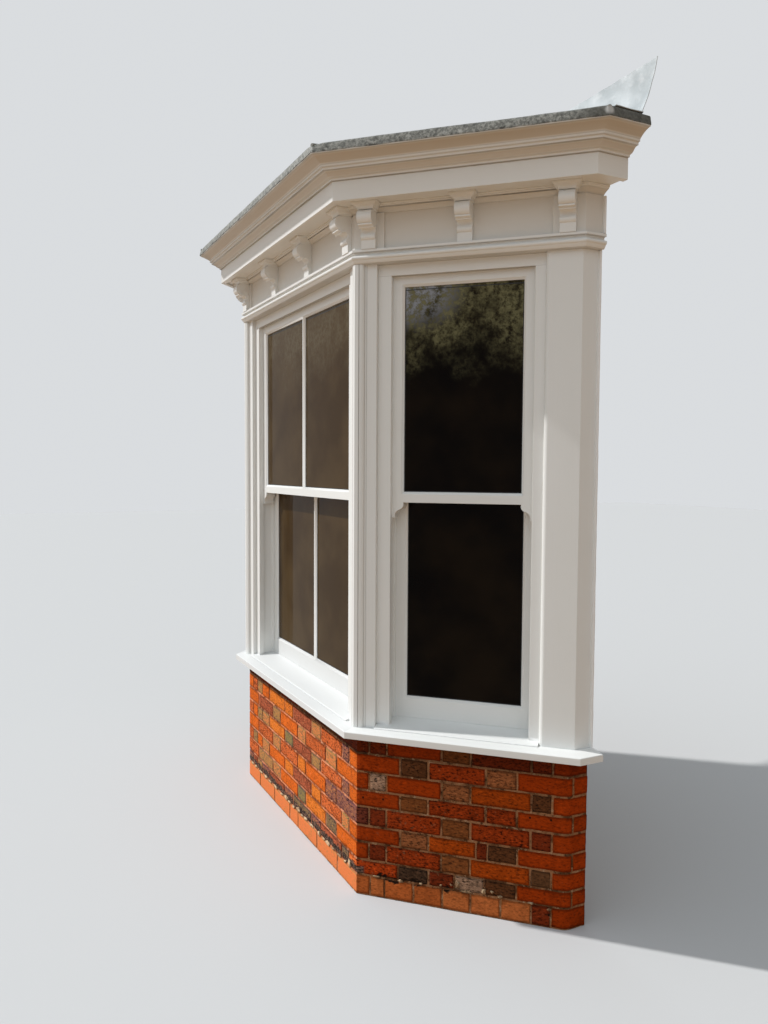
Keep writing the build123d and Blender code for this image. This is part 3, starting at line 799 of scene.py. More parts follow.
# %% [markdown]
# The master brick is a cube cut to size, bevelled once round all its edges, and cut a few times so that
# its face has points to wear. Every copy keeps the bevels and stretches only in the middle, and then its
# points are moved a millimetre or so by noise. Three things are stored in each brick's mesh, for its
# finish to read: its tone, a seed that shifts the mottling from brick to brick, and how near its rim is.

# %% The master brick
master_length, master_height, brick_depth = 0.200, 0.060, 0.040
master_body, master_end = 0.045, 0.055
rim_x, rim_z = 0.094, 0.026
sized = (master_length, brick_depth, master_height)
master = add(bpy.ops.mesh.primitive_cube_add, sized, size=1, location=(0, brick_depth / 2, 0))
with edit_mode(master):
    bpy.ops.mesh.bevel(offset=0.0034, segments=1, affect="EDGES")
cuts = [((x, 0, 0), (1, 0, 0)) for x in (-0.088, -0.068, -0.045, -0.0225, 0, 0.0225, 0.045, 0.068, 0.088)]
cut(master, *cuts, *[((0, 0, z), (0, 0, 1)) for z in (-0.014, 0, 0.014)])
for name, kind in (("tone", "FLOAT_COLOR"), ("seed", "FLOAT"), ("rim", "FLOAT")):
    master.data.attributes.new(name, kind, "POINT")
print("master brick faces:", len(master.data.polygons))

# %% [markdown]
# No two bricks are alike, so the bricks of the front and of the right side have their tones named one by
# one, course by course from the lowest up. A tone is a colour and, as its fourth value, how rough the face
# is, from 0 for a smooth one to 1 for one that is creased all over. The bricks of the left side take a tone
# by chance, from the list for the face they show: a header, a stretcher, a closer or a block.

# %% Brick tones
tones = {
    "orange": (0.318, 0.037, 0.0025, 0.30),
    "amber": (0.355, 0.054, 0.0040, 0.55),
    "red": (0.275, 0.035, 0.0050, 0.95),
    "bright red": (0.400, 0.048, 0.0060, 1.00),
    "dark red": (0.170, 0.025, 0.0060, 0.75),
    "plum": (0.150, 0.034, 0.0180, 1.00),
    "tan": (0.270, 0.092, 0.0330, 0.80),
    "olive": (0.190, 0.060, 0.0170, 0.60),
    "dark olive": (0.105, 0.038, 0.0140, 0.80),
    "grey": (0.115, 0.050, 0.0210, 0.45),
    "black": (0.060, 0.031, 0.0170, 1.00),
    "pale": (0.330, 0.200, 0.1300, 1.00),
    "block": (0.440, 0.110, 0.0260, 0.15),
    "block tan": (0.470, 0.135, 0.0370, 0.20),
}
stretcher_tones = ["orange", "orange", "red", "amber", "red", "dark red", "orange", "red"]
header_tones = ["olive", "tan", "dark olive", "olive", "tan", "red", "grey"]
closer_tones = ["red", "pale", "olive", "red", "orange"]
block_tones = ["block", "block", "block tan", "orange", "block", "block tan"]
cant_rows = [
    ["block", "block tan", "block", "block", "block tan", "block tan", "block tan", "dark red", "orange"],
    ["bright red", "black", "dark red", "pale", "dark olive", "orange"],
    ["orange", "dark red", "red", "olive", "amber", "grey", "orange"],
    ["orange", "tan", "amber", "dark red", "dark olive", "orange"],
    ["plum", "dark red", "red", "olive", "red", "dark red", "orange"],
    ["orange", "olive", "red", "red", "orange"],
    ["orange", "pale", "orange", "tan", "amber", "dark olive", "orange"],
    ["orange", "dark olive", "red", "tan", "orange"],
    ["dark red", "dark red", "orange", "olive", "dark red", "dark red", "orange"],
]
front_rows = [
    ["block", "block", "block tan", "block tan", "block", "block"],
    ["plum", "dark red", "olive", "plum", "dark red", "plum", "dark olive", "plum", "dark red", "dark olive"],
    ["red", "olive", "tan", "orange", "grey", "amber", "dark olive"],
    ["red", "olive", "orange", "tan", "orange", "amber", "dark red", "amber", "red", "pale"],
    ["orange", "red", "tan", "red", "amber", "orange", "plum"],
    ["red", "orange", "olive", "tan", "amber", "grey", "dark red", "olive", "red", "plum"],
    ["orange", "dark red", "olive", "orange", "tan", "red", "tan"],
    ["orange", "red", "olive", "orange", "amber", "amber", "dark red", "tan", "red", "plum"],
    ["dark red", "orange", "olive", "red", "tan", "dark red", "olive"],
]
longest_header, longest_closer, joint_slack = 0.15, 0.1, 0.002


def tone_of(course, start, end, chance):
    """The tone of a brick: listed one by one on the front and right, and elsewhere picked by the face it
    shows.
    """
    length = end - start
    picked = chance.choice(header_tones if length < longest_header else stretcher_tones)
    if length < longest_closer:
        picked = chance.choice(closer_tones)
    if course == 0:
        picked = chance.choice(block_tones)
    if end > half_front + joint_slack:
        row, joints = cant_rows[course], [half_front + reach for reach in patterns[course][0]]
        picked = row[min(sum(end > joint + joint_slack for joint in joints), len(row) - 1)]
    elif end > joint_slack - half_front:
        joints = [reach - half_front for reach in patterns[course][1]]
        picked = front_rows[course][sum(end > joint + joint_slack for joint in joints)]
    return tones[picked]


print("tones:", len(tones))

# %% [markdown]
# The bricks are laid on the flat line. The random numbers and the noise both start from a fixed seed, so
# that every run lays the same bricks: without one, noise_vector takes its seed from the clock.

# %% Lay the bricks
def wear(point, grain):
    """How far noise moves a point of a brick."""
    shift = noise.noise_vector(point * 31.0 + grain) * 0.0016
    return shift + noise.noise_vector(point * 90.0 - grain) * 0.0013


def fit_brick(mesh, start, end, foot, top, chance, tone):
    """Stretch a copy of the master to its place in the flat line, and wear it."""
    half_joint = 0.0027 + chance.uniform(-0.0006, 0.0012)
    middle, length = (start + end) / 2, end - start - 2 * half_joint
    height = top - foot - 2 * half_joint
    sunk, tilt, seed = chance.uniform(0.0, 0.0016), chance.uniform(-0.006, 0.006), chance.uniform(0, 40)
    grain = Vector((seed, seed * 1.7, seed * 0.3))
    rims = []
    for vertex in mesh.vertices:
        x, y, z = vertex.co
        rims.append(1.0 if abs(x) > rim_x or abs(z) > rim_z else 0.0)
        reach = max(-1.0, min(1.0, x / master_body)) * 0.5 * max(length - 2 * master_end, length * 0.3)
        edge = max(0.0, abs(x) - master_body) / master_end * (length / 2 - abs(reach))
        x = reach + (edge if x > 0 else -edge)
        z = z + (height - master_height) / 2 * (1 if z > 0 else -1 if z < 0 else 0)
        point = Vector((middle + x, y, (foot + top) / 2 + z + x * tilt))
        moved = wear(point, grain)
        front = y < brick_depth / 2
        point += Vector((moved.x, abs(moved.y) + sunk if front else 0.0, moved.z))
        if end > line_end or start < -line_end:
            point.x = max(0.0001 - line_end, min(line_end - 0.0001, point.x))
        vertex.co = point
    count = len(mesh.vertices)
    mesh.attributes["tone"].data.foreach_set("color", list(tone) * count)
    mesh.attributes["seed"].data.foreach_set("value", [seed] * count)
    mesh.attributes["rim"].data.foreach_set("value", rims)


noise.seed_set(11)
chance = random.Random(11)
laid = {facet: [] for facet in sides}
for course in range(len(patterns)):
    for start, end in bricks_of(course):
        middle = (start + end) / 2
        facet = "front" if abs(middle) < half_front else "right" if middle > 0 else "left"
        *color, rough = tone_of(course, start, end, chance)
        level = chance.uniform(0.90, 1.10)
        tone = [channel * level for channel in color] + [rough]
        brick = another(master, "brick")
        fit_brick(brick.data, start, end, bed_levels[course], bed_levels[course + 1], chance, tone)
        laid[facet].append(brick)
bpy.data.objects.remove(master)
print("laid:", {facet: len(bricks) for facet, bricks in laid.items()})

# %% [markdown]
# ## Brick finish
#
# A handmade brick shows creases where the clay was thrown, coarse sand, burns from the kiln and lime bloom,
# and its rim is darker than its face. Its creases are painted darker as shade, and their ridges lighter as
# highlight. The faces towards the sun are painted lighter as sunlight, except in the strip under the sill,
# which is painted shade. A course low on the front is burnt dark, holes have been drilled along the cants,
# and a few arrises have broken away. Each of these is a mask of its own, and they are laid one over another.

# %% Spots on the cants
def cant_spots(spots):
    """The places of spots on a cant, with both sides of the bay folded onto one."""
    places = [place_on("right", reach, 0, level) for reach, level in spots]
    return [(abs(x), abs(y), z) for x, y, z in places]


hole_spots = cant_spots([
    (0.029, 0.418), (0.117, 0.421), (0.357, 0.422), (0.485, 0.414), (0.724, 0.430), (0.806, 0.432),
    (0.804, 0.052),
])
broken_spots = cant_spots([
    (0.105, 0.092), (0.128, 0.090), (0.150, 0.086), (0.172, 0.082), (0.252, 0.092), (0.275, 0.087),
    (0.395, 0.085),
])


def spots_near(place, spots, near, far):
    """1 within a distance of any of the spots, and 0 beyond a further one."""
    folded = vectors("ABSOLUTE", place)
    total = None
    for spot in spots:
        mask = 1 - vectors("DISTANCE", folded, spot, "Value").between(near, far)
        total = mask if total is None else total.maths("MAXIMUM", total, mask)
    return total


def ragged(place):
    """The place, moved a little by noise, so that what is measured from it has a ragged edge."""
    noisy = vectors("SUBTRACT", cloudy(place, 70.0, 3.0, output="Color"), (0.5, 0.5, 0.5))
    return vectors("ADD", place, stretch(noisy, (0.022, 0.022, 0.022)))


print("drilled holes along a cant:", len(hole_spots), "broken arrises:", len(broken_spots))

# %% Brick finish
def scaled(color, share):
    """Make a colour lighter or darker by a wire."""
    return color.node("ShaderNodeVectorMath", {"operation": "SCALE"}, {0: color, "Scale": share})


def painted_sunlit(place, color, gain, most):
    """The colour with painted sunlight: each channel lifted, up to a limit, and painted shade under the sill.
    """
    # painted sunlight: each channel lifted, up to a limit, on the faces towards the sun
    painted_lit = vectors("MINIMUM", stretch(color, gain), most)
    # painted shade in the strip under the sill
    shade = axis_of(place, "Z").between(0.597, 0.605)
    return blend(scaled(color, 1 - shade * 0.35), painted_lit, stored(place, "painted_sunlight") * (1 - shade))


def brick_finish():
    """Handmade brick: its own tone, kiln burns, creases with painted shade and highlight, pits, lime bloom
    and sand.
    """
    material, place = new_finish("handmade_brick", {"Specular IOR Level": 0.05})
    tone, rough = stored(place, "tone", "Color"), stored(place, "tone", "Alpha")
    seed, rim = stored(place, "seed"), stored(place, "rim")
    shift = place.node("ShaderNodeCombineXYZ", None, {"X": seed * 1.3, "Y": seed * 0.7, "Z": seed})
    own = vectors("ADD", place, shift)
    patches = cloudy(own, 21.0, 4.0, 0.6)
    creases = cloudy(stretch(own, (1.0, 1.0, 2.4)), 70.0, 5.0, 0.66)
    sand = cloudy(own, 560.0, 2.0, 0.6)
    light = 1.04 - patches.between(0.48, 0.74) * 0.34
    # painted shade in the creases, and painted highlight on their ridges
    light = light * (1 - (1 - creases).between(0.50, 0.64) * (rough * 0.66 + 0.28))
    light = light * (1 + creases.between(0.54, 0.70) * (rough * 0.85 + 0.18))
    light = light * (1 - sand.between(0.60, 0.80) * 0.40)
    light = light * (1 - (rim + creases * 0.8 - 0.4).between(0.30, 0.95) * 0.45)
    bloom = cloudy(own, 52.0, 6.0, 0.72).between(0.60, 0.70) * (rough * 0.26 + 0.04)
    color = blend(scaled(tone, light), (0.40, 0.235, 0.125, 1), bloom)
    # painted sunlight on the faces towards the sun, painted shade under the sill, and painted shade on the
    # left side
    color = left_side_painted_shade(place, painted_sunlit(place, color, (2.12, 3.6, 6.85), (0.765, 0.216, 0.072)))
    depth, level = axis_of(place, "Y"), axis_of(place, "Z")
    band = (level + creases * 0.02).between(0.093, 0.098)
    band = band * (1 - depth.between(front_y + 0.020, front_y + 0.030))
    band = band * (1 - (level + patches * 0.05 + creases * 0.02).between(0.152, 0.160))
    burnt = blend((0.030, 0.022, 0.018, 1), (0.215, 0.130, 0.098, 1), creases.between(0.44, 0.62))
    color = blend(color, burnt, band)
    color = blend(color, (0.012, 0.006, 0.003, 1), spots_near(place, hole_spots, 0.0036, 0.0056))
    broken = spots_near(ragged(place), broken_spots, 0.010, 0.016)
    color = blend(color, (0.014, 0.007, 0.004, 1), broken)
    height = creases * (rough * 0.9 + 0.25 + band) + patches * 0.5 + sand * 0.16 - broken * 2.0 - band * 0.8
    return lay(material, color, creases * 0.2 + 0.72, height, 0.85, 0.0034)


handmade = brick_finish()
print("brick finish nodes:", len(handmade.node_tree.nodes))

# %% [markdown]
# Lime mortar is sandy and dry. Patches of it are painted darker as shade, the places where it has crumbled
# away are painted darker still as shade, and its lips are painted paler as highlight. The same finish in
# other tones does for mortar that was spilt, so it takes its colours as values. The inner face of the
# plinth is plastered, and the sweeps of the trowel are a noise that is stretched sideways.

# %% Mortar and plaster
def mortar_finish(name, dry, painted_shade_tone, painted_highlight_tone, gain, most):
    """Lime mortar: painted shade in patches and where it has crumbled, painted highlight on its lips, sand,
    and painted sunlight.
    """
    material, place = new_finish(name, {"Specular IOR Level": 0.1})
    patches, grains = cloudy(place, 11.0, 4.0, 0.6), cloudy(place, 430.0, 3.0, 0.7)
    clumps = cloudy(place, 46.0, 4.0, 0.65)
    crumbled_shade = [channel * 0.45 for channel in painted_shade_tone[:3]] + [1]
    # painted shade in patches, painted highlight on the lips, and painted shade where the mortar has crumbled
    color = blend(dry, painted_shade_tone, patches.between(0.44, 0.62))
    color = blend(color, painted_highlight_tone, clumps.between(0.56, 0.66) * 0.8)
    color = blend(color, crumbled_shade, (1 - clumps).between(0.56, 0.64) * 0.85)
    color = scaled(color, 0.72 + grains.between(0.35, 0.70) * 0.5)
    # painted sunlight, and painted shade under the sill
    color = painted_sunlit(place, color, gain, most)
    return lay(material, color, grains * 0.2 + 0.78, grains + patches, 0.8, 0.0020)


def plaster_finish():
    """Room plaster on the inner face of the plinth, with trowel sweeps."""
    material, place = new_finish("room_plaster", {"Specular IOR Level": 0.25})
    sweeps = cloudy(stretch(place, (2.2, 2.2, 9.0)), 3.0, 4.0, 0.6)
    grit = cloudy(place, 300.0, 2.0)
    color = blend((0.52, 0.43, 0.37, 1), (0.66, 0.58, 0.51, 1), sweeps)
    return lay(material, color, sweeps * 0.2 + 0.7, sweeps * 1.6 + grit * 0.2, 0.5, 0.0014)


bed_tones = [(0.340, 0.160, 0.074, 1), (0.110, 0.045, 0.018, 1), (0.46, 0.29, 0.170, 1)]
mortar = mortar_finish("lime_mortar", *bed_tones, (2.3, 1.75, 1.85), (0.82, 0.39, 0.21))
lump_tones = [(0.360, 0.245, 0.145, 1), (0.210, 0.125, 0.068, 1), (0.50, 0.38, 0.25, 1)]
spilt = mortar_finish("spilt_mortar", *lump_tones, (2.1, 2.2, 2.3), (0.80, 0.58, 0.36))
plaster = plaster_finish()
print("finishes:", mortar.name, spilt.name, plaster.name)

# %% [markdown]
# Mortar was spilt along the lowest bed when the plinth was laid, and hangs there in pale lumps. Each one is
# a small ball, squashed onto the face of the bricks and made uneven by noise. The lists give each lump's
# reach along its facet, its level, its width and its height.

# %% Mortar lumps
cant_lumps = [
    (0.092, 0.089, 0.030, 0.008), (0.195, 0.087, 0.022, 0.011), (0.284, 0.090, 0.012, 0.008),
    (0.368, 0.098, 0.012, 0.009), (0.410, 0.107, 0.010, 0.009), (0.436, 0.112, 0.014, 0.034),
    (0.470, 0.090, 0.050, 0.010), (0.546, 0.104, 0.016, 0.022), (0.578, 0.107, 0.012, 0.010),
    (0.610, 0.092, 0.018, 0.009), (0.733, 0.089, 0.018, 0.008), (0.803, 0.075, 0.014, 0.010),
]
front_lumps = [
    (0.060, 0.088, 0.040, 0.010), (0.130, 0.090, 0.030, 0.012), (0.215, 0.087, 0.050, 0.010),
    (0.300, 0.090, 0.036, 0.013), (0.372, 0.088, 0.044, 0.010), (0.470, 0.090, 0.052, 0.012),
    (0.560, 0.087, 0.034, 0.010), (0.632, 0.092, 0.052, 0.017), (0.684, 0.089, 0.036, 0.012),
    (0.745, 0.086, 0.030, 0.009), (0.806, 0.095, 0.050, 0.018), (0.858, 0.087, 0.026, 0.009),
    (0.908, 0.090, 0.036, 0.014), (0.985, 0.087, 0.040, 0.010), (1.084, 0.088, 0.036, 0.026),
    (1.140, 0.087, 0.026, 0.009), (1.184, 0.086, 0.042, 0.018), (1.250, 0.088, 0.022, 0.008),
    (1.318, 0.086, 0.034, 0.010), (1.385, 0.088, 0.020, 0.010), (1.430, 0.099, 0.020, 0.026),
]
lump_inset, lump_depth = 0.0012, 0.0090
ball = add(bpy.ops.mesh.primitive_ico_sphere_add, subdivisions=2, radius=0.5)
lumps = {facet: [] for facet in sides}
for facet, spots in (("front", front_lumps), ("right", cant_lumps), ("left", cant_lumps)):
    for reach, level, width, height in spots:
        run = reach - half_front if facet == "front" else sides[facet] * (half_front + reach)
        lump = another(ball, "lump")
        lump.data.materials.append(spilt)
        for vertex in lump.data.vertices:
            uneven = 1.1 + 0.95 * noise.noise(vertex.co * 2.9 + Vector((run * 31, level * 40, 0)))
            spread = vertex.co * uneven
            depth = lump_inset + spread.y * lump_depth
            vertex.co = (run + spread.x * width, depth, level + spread.z * height)
        lumps[facet].append(lump)
bpy.data.objects.remove(ball)
print("mortar lumps:", {facet: len(items) for facet, items in lumps.items()})

# %% [markdown]
# Now each facet's bricks are joined, the skin is cut at every bend of the plan, and then wrapped. A brick
# that crosses a corner gets its bend there, exactly as a special would be moulded. Behind the skin stands a
# copy of the solid plinth, which is set back a few millimetres at its outer face to be the mortar. Last,
# every face stores how squarely it looks towards the sun, for the painted sunlight.

# %% Build the plinth
def run_of(x, y):
    """The run on the flat line of a place on the plinth's outer face, or None for any other place."""
    side, wide = (-1 if x < 0 else 1), abs(x)
    reach = along(x, y, "right")
    if wide < half_front + touching and abs(y - front_y) < touching:
        return side * wide
    if abs(off_cant(x, y)) < touching and reach < round_start - half_front + touching:
        return side * (half_front + reach)
    if abs(wide - return_x) < touching and y > middle_y - touching:
        return side * (round_end + y - middle_y)
    spoke = Vector((wide - middle_x, y - middle_y))
    if abs(spoke.length - bullnose) < 2 * touching and wide > middle_x:
        return side * (round_start + bullnose * (radians(45) - abs(Vector((1, 0)).angle_signed(spoke))))
    return None


round_steps, mortar_depth, mortar_gap = 5, 0.0032, 0.0008
round_bends = [round_start + bullnose * radians(45) * step / round_steps for step in range(round_steps + 1)]
toward_sun = Vector((-0.643, -0.766, 0))
for facet, bricks in laid.items():
    skin, spill = join(bricks), join(lumps[facet])
    cut(skin, *[((side * bend, 0, 0), (1, 0, 0)) for bend in [half_front, *round_bends] for side in (1, -1)])
    skin.data.materials.append(handmade)
    for shell in (skin, spill):
        for vertex in shell.data.vertices:
            x, y = wrap(vertex.co.x, vertex.co.y)
            vertex.co = (x, y, vertex.co.z)
    core = copy_of(f"plinth_{facet}", f"brickwork_{facet}")
    for vertex in core.data.vertices:
        run = run_of(vertex.co.x, vertex.co.y)
        if run is not None:
            x, y = wrap(run, mortar_depth)
            vertex.co = (x, y, vertex.co.z)
        vertex.co.y = min(vertex.co.y, back_y - mortar_gap)
    core.data.materials.clear()
    for item in (mortar, plaster):
        core.data.materials.append(item)
    for face in core.data.polygons:
        outward = Vector((face.center.x, face.center.y - back_y, 0))
        face.material_index = 1 if face.normal.dot(outward.normalized()) < -0.3 else 0
    finish_smooth(join([core, skin, spill]), 52)
    # painted sunlight: how squarely each face looks towards the sun
    painted_sunlight = core.data.attributes.new("painted_sunlight", "FLOAT", "CORNER").data
    for face in core.data.polygons:
        share = (face.normal.dot(toward_sun) - 0.15) / 0.45
        for corner in face.loop_indices:
            painted_sunlight[corner].value = max(0.0, min(1.0, share))
    stand_for(core, "brick", f"plinth_{facet}")
    print(core.name, "faces:", len(core.data.polygons))

# %% [markdown]
# ## Lead roof
#
# The roof is sheet lead, laid over boards at a fall of four degrees and dressed down over the edge onto
# the crown moulding. Its top has weathered to a calm grey. Its edge was beaten down by hand: it is mottled
# from light to dark, with darker blotches along its foot, painted shade at the back, and a painted highlight
# at one sharp fold.

# %% Lead
lead_reach, eaves_level, fall = 0.242, 3.019, tan(radians(4))
flashing_head = 3.1992
back_gap = 0.0002


def dull_lead_finish():
    """Old sheet lead: mottled greys, dark blotches along its foot, painted shade at the back, a painted
    highlight at a fold.
    """
    material, place = new_finish("dull_lead", {"Specular IOR Level": 0.3})
    across, level = abs(axis_of(place, "X")), axis_of(place, "Z")
    mottle, dents = cloudy(place, 85.0, 4.0, 0.7), cloudy(place, 34.0, 4.0, 0.6)
    sheets, top = cloudy(place, 4.5, 4.0, 0.55), level.between(3.012, 3.024)
    wild = 1 - top * 0.78
    color = blend((0.105, 0.106, 0.092, 1), (0.330, 0.326, 0.290, 1), mottle.between(0.36, 0.66))
    color = blend(color, (0.500, 0.490, 0.450, 1), dents.between(0.58, 0.72) * 0.6)
    calm = blend((0.175, 0.180, 0.172, 1), (0.300, 0.305, 0.295, 1), sheets.between(0.32, 0.68))
    color = blend(calm, color, wild)
    color = blend(color, (0.045, 0.042, 0.034, 1), (1 - dents).between(0.56, 0.70) * wild * 0.75)
    foot = 1 - (level + mottle * 0.012).between(2.991, 3.000)
    blotches = cloudy(place, 24.0, 4.0, 0.7).between(0.50, 0.62)
    color = blend(color, (0.030, 0.026, 0.020, 1), foot * blotches * 0.85)
    # painted shade at the back, where the flashing and the wall shade the lead
    painted_shade_back = (across + mottle * 0.03).between(half_width + 0.15, half_width + 0.24)
    color = blend(color, (0.055, 0.052, 0.040, 1), painted_shade_back * 0.72)
    # painted highlight at one sharp fold
    fold = spots_near(place, [(half_width + 0.243, abs(shoulder_y - 0.1005), 3.004)], 0.008, 0.022)
    color = blend(color, (0.60, 0.59, 0.56, 1), fold * 0.8)
    return lay(material, color, mottle * 0.25 + 0.48, mottle * 0.6 + dents, 0.6, 0.0024)


def bright_lead_finish():
    """Newer lead: smooth blue-white patches with a soft sheen, folds with a painted highlight, and faint grey
    streaks where water ran.
    """
    material, place = new_finish("bright_lead", {"Metallic": 0.10, "Specular IOR Level": 0.4})
    patches, folds_and_highlight = cloudy(place, 9.0, 2.0, 0.45), cloudy(place, 30.0, 3.0, 0.55)
    streaks = cloudy(stretch(place, (34.0, 34.0, 5.0)), 1.0, 3.0)
    color = blend((0.43, 0.46, 0.465, 1), (0.56, 0.585, 0.59, 1), patches.between(0.32, 0.66))
    # painted highlight on the folds
    color = blend(color, (0.66, 0.67, 0.67, 1), folds_and_highlight.between(0.50, 0.74) * 0.45)
    color = blend(color, (0.30, 0.32, 0.325, 1), streaks.between(0.58, 0.78) * 0.45)
    return lay(material, color, folds_and_highlight * 0.2 + 0.34, folds_and_highlight * 0.7 + patches * 2.0, 0.45, 0.0030)


def roof_level(x, y):
    """The level of the lead: it rises from the nearest eaves."""
    inward = min(y - front_y + lead_reach, lead_reach - off_cant(x, y), half_width + lead_reach - abs(x))
    return eaves_level + fall * inward


def outward_of(x, y, offset):
    """The direction in plan in which an edge point at an offset moves to stay in its own lines."""
    side = -1 if x < 0 else 1
    on_front = abs(y - front_y + offset) < touching
    on_cant = abs(off_cant(x, y) - offset) < touching
    on_return = abs(abs(x) - half_width - offset) < touching
    if on_front and on_cant:
        return Vector((side * mitre_slope, -1, 0))
    if on_cant and on_return:
        return Vector((side, -mitre_slope, 0))
    if on_front:
        return Vector((0, -1, 0))
    return Vector((side * slant, -slant, 0)) if on_cant else Vector((side, 0, 0))


print("lead reaches", lead_reach, "m out, and rises", round(fall * 100, 1), "in 100")

# %% [markdown]
# Sheet metal that was beaten down by hand is never quite flat. So the sheet starts as a grid, which has
# points enough to be uneven. It is cut along the hips, so that each slope can have its own fall, and
# trimmed to the plan of the cornice.

# %% The sheet
edge_start, margin = 0.236, 0.27
sheet_depth = back_y - front_y + margin
grid = {"x_subdivisions": 124, "y_subdivisions": 38, "size": 1, "location": (0, back_y - sheet_depth / 2, 3)}
lead = add(bpy.ops.mesh.primitive_grid_add, (2 * (half_width + margin), sheet_depth, 1), **grid)
lead.name = "lead_roof_dressed"
trims = [((0, front_y - edge_start, 0), (0, -1, 0))]
for facet in ("right", "left"):
    side = sides[facet]
    trims.append((place_on(facet, cant_length / 2, edge_start, 0), (side * slant, -slant, 0)))
    trims.append(((side * (half_width + edge_start), 0, 0), (side, 0, 0)))
for mitre, shoulder in zip(mitres, shoulders):
    cut(lead, mitre, shoulder)
cut(lead, *trims, trim=True)
with edit_mode(lead):
    bpy.ops.mesh.remove_doubles(threshold=0.0004)
for vertex in lead.data.vertices:
    vertex.co.z = roof_level(vertex.co.x, vertex.co.y)
print("sheet points:", len(lead.data.vertices))

# %% [markdown]
# The free edge is extruded row by row, over the eaves and down to the lip, and each row is moved out in its
# own lines, so that the corners stay sharp. Then noise makes the sheet uneven and the lip waver, the two
# front corners droop a little, and Solidify gives the lead its gauge.

# %% Dress the edge down
rows_down = [
    (0.2398, 3.0186), (0.2428, 3.0158), (0.2450, 3.0105), (0.2464, 3.0020), (0.2480, 2.9930),
    (0.2490, 2.9838),
]
offset = edge_start
with edit_mode(lead):
    bpy.context.tool_settings.mesh_select_mode = (False, True, False)
    bpy.ops.mesh.select_all(action="DESELECT")
    sheet = bmesh.from_edit_mesh(lead.data)
    for edge in sheet.edges:
        at_back = all(corner.co.y > back_y - 2 * touching for corner in edge.verts)
        if edge.is_boundary and not at_back:
            edge.select_set(True)
    bmesh.update_edit_mesh(lead.data)
    for new_offset, level in rows_down:
        bpy.ops.mesh.extrude_region_move()
        sheet = bmesh.from_edit_mesh(lead.data)
        for vertex in sheet.verts:
            if vertex.select:
                way = outward_of(vertex.co.x, vertex.co.y, offset)
                vertex.co += way * (new_offset - offset)
                vertex.co.z = level
        bmesh.update_edit_mesh(lead.data)
        offset = new_offset
    bpy.ops.mesh.select_all(action="SELECT")
    bpy.ops.mesh.normals_make_consistent(inside=False)
bpy.context.tool_settings.mesh_select_mode = (True, False, False)
if sum(face.normal.z * face.area for face in lead.data.polygons) < 0:
    lead.data.flip_normals()
print("sheet and edge faces:", len(lead.data.polygons))

# %% Make it uneven
corner_x, corner_y = half_front + lead_reach * mitre_slope, front_y - lead_reach
edge_foot, lip_top = 2.984, 2.985
for vertex in lead.data.vertices:
    point = vertex.co.copy()
    corner_gap = Vector((abs(point.x) - corner_x, point.y - corner_y)).length
    droop = 0.007 * max(0.0, 1 - corner_gap / 0.055) ** 1.5
    if point.z > eaves_level - 0.001:
        vertex.co.z += 0.0022 * noise.noise(point * 7.0) + 0.0010 * noise.noise(point * 24.0) - droop
    else:
        inward = Vector((-point.x, back_y - point.y, 0)).normalized()
        dent = 0.0016 if point.z > 2.995 else 0.0007
        vertex.co += inward * dent * (1 + noise.noise(point * 26.0))
        vertex.co.z -= droop * max(0.0, (point.z - edge_foot) / 0.035)
        if point.z < lip_top:
            vertex.co.z += 0.0014 * noise.noise(point * 33.0) + 0.0012 * noise.noise(point * 11.0)
thicken(lead, 0.0024, -1)
print("lead points:", len(lead.data.vertices))

# %% [markdown]
# Where two slopes meet, the sheets are folded together into a welt, a low tube that runs down the hip and
# ends open at the corner. It is a cylinder: one end cap is inset and pushed in, and its points then follow
# the fall of the roof.

# %% Hip welts
def welt(corner_x, corner_y, way_x, way_y, length):
    """One folded welt, from an eaves corner up the hip to the back."""
    tube = add(bpy.ops.mesh.primitive_cylinder_add, vertices=12, radius=0.0068, depth=length)
    cut(tube, *even_cuts(length, 24))
    with edit_mode(tube):
        tube_mesh = bmesh.from_edit_mesh(tube.data)
        for face in tube_mesh.faces:
            face.select_set(face.normal.z < -0.9)
        bmesh.update_edit_mesh(tube.data)
        bpy.ops.mesh.inset(thickness=0.0018)
        bpy.ops.transform.translate(value=(0, 0, 0.012))
    for vertex in tube.data.vertices:
        across, up, reach = vertex.co.x, vertex.co.y, vertex.co.z + length / 2
        x = corner_x + way_x * reach - way_y * across
        y = corner_y + way_y * reach + way_x * across
        droop = 0.006 * max(0.0, 1 - reach / 0.03) ** 2
        tucked = 0.0085 * max(0.0, min(1.0, (y - back_y + 0.175) / 0.020))
        vertex.co = (x, min(y, back_y - back_gap), roof_level(x, y) + up + 0.0015 - droop - tucked)
    with edit_mode(tube):
        bpy.ops.mesh.normals_make_consistent(inside=False)
    return tube


welts = []
back_x, shoulder_corner_y = half_width + lead_reach, shoulder_y - lead_reach * mitre_slope
steep, slow = cos(mitre_angle), sin(mitre_angle)
for side in (1, -1):
    welts.append(welt(side * corner_x, corner_y, -side * slow, steep, (back_y - corner_y) / steep))
    length = (back_y - shoulder_corner_y) / slow
    welts.append(welt(side * back_x, shoulder_corner_y, -side * steep, slow, length))
join([lead, *welts])
for vertex in lead.data.vertices:
    vertex.co.y = min(vertex.co.y, back_y - back_gap)
finish_smooth(lead, 50)
lead.data.materials.append(dull_lead_finish())
stand_for(lead, "lead", "lead_roof")
print("welts:", len(welts), "lead faces:", len(lead.data.polygons))

# %% [markdown]
# ## Lead flashing
#
# A strip of newer, brighter lead closes the roof at the back. It lies on the roof for 150 mm and then stands
# up, and its free ends splay out and curl forwards. One grid makes it: the first rows lie on the roof, the
# others climb, and noise pushes folds and creases into them.

